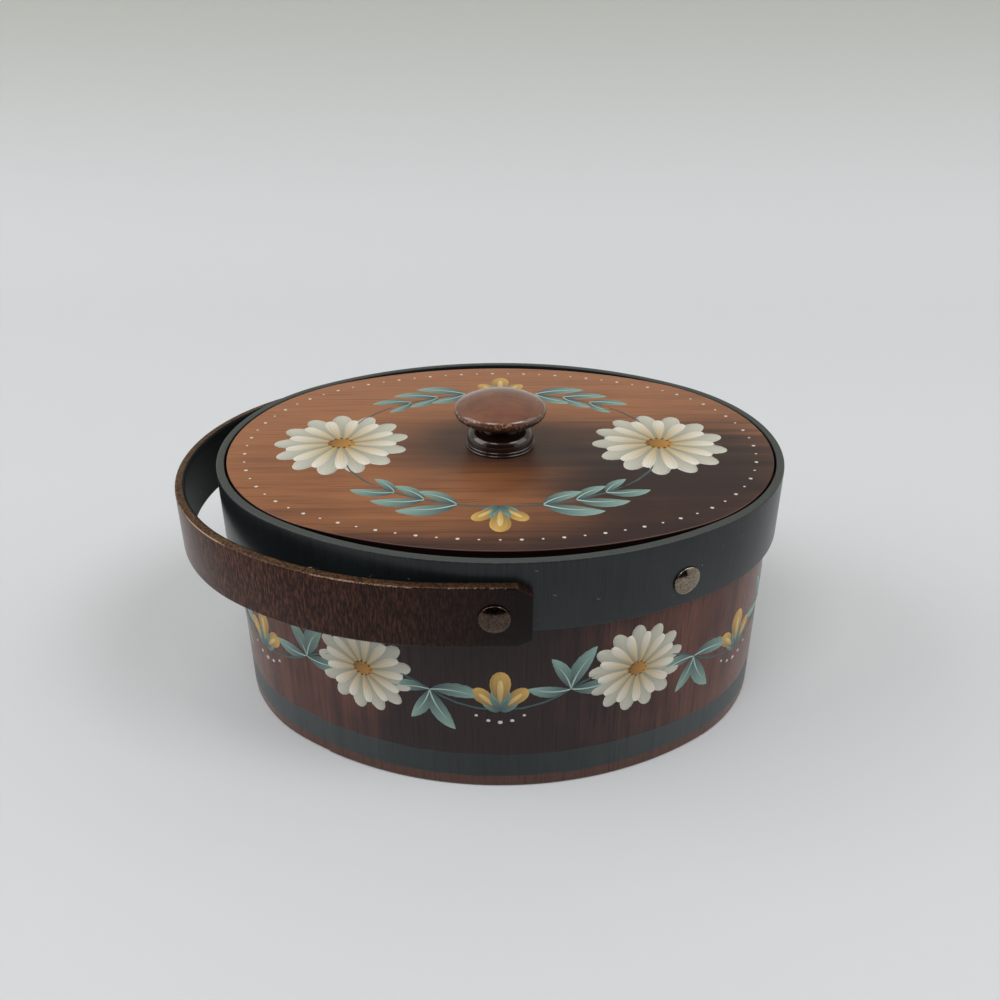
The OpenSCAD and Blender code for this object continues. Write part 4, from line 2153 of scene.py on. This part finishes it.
    def side_strokes(self, around: float, middle: float) -> list[Stroke]:
        """Lays out the garland round the side.

        Args:
            around: length once round the side.
            middle: height of the garland's middle line.

        Returns:
            The strokes on the side.
        """
        strokes = []
        pitch = around / self.repeats
        chord = pitch / 2
        slope = 2 * math.atan(2 * self.swing / chord)
        run = chord * slope / math.sin(slope)
        first_turn, next_turn = self.side_turns
        for number in range(self.repeats):
            start = (number + 0.25) * pitch
            for half, lean in ((0, 1), (1, -1)):
                root = Vector((start + half * chord, middle))
                onward = lean * slope
                strokes.append(self.stem(root, onward, run, -2 * onward))
                for side in (-1, 1):
                    for aim, length in zip((onward, math.pi - onward), self.side_leaves):
                        splayed = aim + self.leaf_splay * side
                        strokes += Motif.LEAF.strokes(root, splayed, length, -self.leaf_curl * side)
            crest = Vector((start + chord / 2, middle + self.swing / 2))
            turn = first_turn + next_turn * number
            strokes += self.daisy.strokes(crest, self.side_daisy, turn)
            trough = Vector((start + 1.5 * chord, middle - self.swing))
            strokes += self.spray(trough, math.pi / 2)
            for along, drop, size in self.dots:
                strokes.append(dot(trough + Vector((along, -drop)), size))
        return strokes


@dataclass(frozen=True)
class Lamp:
    """A soft square lamp that faces the box.

    Attributes:
        name: name of the lamp.
        azimuth: direction in plan, in degrees to the right of the camera.
        elevation: height above the table, in degrees.
        distance: distance from the box.
        size: side of the lamp.
        power: power in watts.
    """

    name: str
    azimuth: float
    elevation: float
    distance: float
    size: float
    power: float

    def hang(self, target: Vector) -> None:
        """Puts the lamp up.

        Args:
            target: the point that it faces.
        """
        a, e = math.radians(self.azimuth), math.radians(self.elevation)
        out = Vector((math.sin(a) * math.cos(e), -math.cos(a) * math.cos(e), math.sin(e)))
        data = bpy.data.lights.new(self.name, "AREA")
        data.size = self.size
        data.energy = self.power
        lamp = bpy.data.objects.new(self.name, data)
        lamp.location = target + self.distance * out
        lamp.rotation_euler = out.to_track_quat("Z", "Y").to_euler()
        bpy.context.scene.collection.objects.link(lamp)


@dataclass(frozen=True)
class Studio:
    """The camera, the lamps, the sky and the pale sweep that the box stands on.

    Attributes:
        eye: place of the camera.
        pitch: angle that the camera looks down.
        sensor: width of the camera's sensor in millimetres.
        lens: focal length in millimetres.
        lamps: the lamps.
        lit_z: height of the point that the lamps face.
        sky: colour of the surrounding light.
        sky_strength: strength of the surrounding light.
        sky_seen: strength of the sky where the camera or a reflection sees it.
        table: colour of the sweep where it lies flat.
        wall: colour of the sweep where it stands up.
        reach: half of the sweep's width and its length towards the camera.
        bend_at: distance behind the box at which the sweep starts to rise.
        bend_r: radius of the sweep's bend.
        bend_steps: steps in the bend.
        wall_h: height of the sweep.
        card: colour of the dark card in front of the box.
        card_at: distance of the card.
        card_low: height of the card's lower edge.
    """

    eye: Vector = Vector((-0.1 * MM, -377.0 * MM, 291.1 * MM)).freeze()
    pitch: float = math.radians(29.35)
    sensor: float = 36.0
    lens: float = 36.31
    lamps: tuple[Lamp, ...] = (
        Lamp("left_lamp", -30, 60, 2.4, 0.9, 12.5),
        Lamp("right_lamp", 60, 55, 2.4, 0.9, 13.5),
        Lamp("left_side_lamp", -85, 35, 2.8, 2.0, 30.0),
        Lamp("right_side_lamp", 85, 35, 2.8, 2.0, 16.0),
    )
    lit_z: float = 60 * MM
    sky: str = "#EFEFEC"
    sky_strength: float = 0.2
    sky_seen: float = 0.62
    table: str = "#DEE0E3"
    wall: str = "#C5C6BE"
    reach: float = 3.0
    bend_at: float = 0.5
    bend_r: float = 0.3
    bend_steps: int = 24
    wall_h: float = 2.5
    card: str = "#0E0E0E"
    card_at: float = 2.6
    card_low: float = 0.1

    def build(self) -> None:
        """Sets up everything round the box."""
        scene = bpy.context.scene
        scene.view_settings.view_transform = "Standard"
        data = bpy.data.cameras.new("camera")
        data.sensor_width = self.sensor
        data.lens = self.lens
        camera = bpy.data.objects.new("camera", data)
        camera.location = self.eye
        camera.rotation_euler = (math.pi / 2 - self.pitch, 0, 0)
        scene.collection.objects.link(camera)
        scene.camera = camera
        for lamp in self.lamps:
            lamp.hang(self.lit_z * UP)
        scene.world = self.build_sky()
        self.build_sweep()
        self.build_card()

    def build_sky(self) -> World:
        """Makes a sky that lights the scene evenly from all round.

        Returns:
            The sky.
        """
        sky = bpy.data.worlds.new("soft_sky")
        nodes = Nodes(sky, "Background")
        rays = nodes.add(Kind("ShaderNodeLightPath")).node.outputs
        seen = rays["Is Camera Ray"]
        for ray in ("Is Glossy Ray", "Is Transmission Ray"):
            seen = nodes.add(LARGER, {0: seen, 1: rays[ray]})
        strength = nodes.add(
            RAMP, {"Value": seen, "To Min": self.sky_strength, "To Max": self.sky_seen}
        )
        nodes.feed(nodes.shader, {"Color": self.sky, "Strength": strength})
        return sky

    def build_sweep(self) -> None:
        """Lays a pale sheet under the box that curves up behind it."""
        mesh = bmesh.new()
        left = -self.reach
        pen = ProfilePen(mesh, Vector((left, -self.reach, 0)))
        pen.line_to(Vector((left, self.bend_at, 0)))
        bend = Vector((left, self.bend_at, self.bend_r))
        pen.arc(bend, math.pi / 2, self.bend_steps, Vector((1, 0, 0)))
        pen.line_to(Vector((left, self.bend_at + self.bend_r, self.wall_h)))
        self.set_up("paper_sweep", mesh, self.paper())

    def build_card(self) -> None:
        """Stands a dark card in front, which only the reflections in gloss and metal show."""
        mesh = bmesh.new()
        pen = ProfilePen(mesh, Vector((-self.reach, -self.card_at, self.card_low)))
        pen.line_to(Vector((-self.reach, -self.card_at, self.card_low + self.wall_h)))
        material = Graph("matt_black_card").finish({"Base Color": self.card, "Roughness": 0.9})
        card = self.set_up("dark_card", mesh, material)
        card.visible_camera = False
        card.visible_diffuse = False
        card.visible_shadow = False

    def set_up(self, name: str, mesh: BMesh, material: Material) -> Object:
        """Draws a line of edges out across the studio into a sheet.

        Args:
            name: name of the sheet.
            mesh: the line of edges at the studio's left, which is freed.
            material: finish of the sheet.

        Returns:
            The sheet, which isn't part of the box.
        """
        made = bmesh.ops.extrude_edge_only(mesh, edges=mesh.edges[:])["geom"]
        far = [part for part in made if isinstance(part, BMVert)]
        bmesh.ops.translate(mesh, verts=far, vec=(2 * self.reach, 0, 0))
        sheet = link_mesh(name, mesh, [material])
        return sheet

    def paper(self) -> Material:
        """Makes the sweep's matt paper, pale on the table and greyer where it rises.

        Returns:
            The paper's finish.
        """
        graph = Graph("matt_backdrop_paper")
        height = graph.add(SPLIT, {0: graph.place}, "Z")
        rising = graph.add(EASE, {"Value": height, "From Min": 0.0, "From Max": self.bend_r})
        colour = graph.coats(self.table, (rising, self.wall))
        return graph.finish({"Base Color": colour, "Roughness": 0.8})


def main() -> None:
    """Builds the scene piece by piece."""
    logging.basicConfig(level=logging.INFO, format="%(name)s: %(message)s")
    for assembly in (Studio, BentBox, RimBand, RivetSet, SwingHandle, DropInLid, PaintedFlowers):
        assembly().build()


if __name__ == "__main__":
    main()
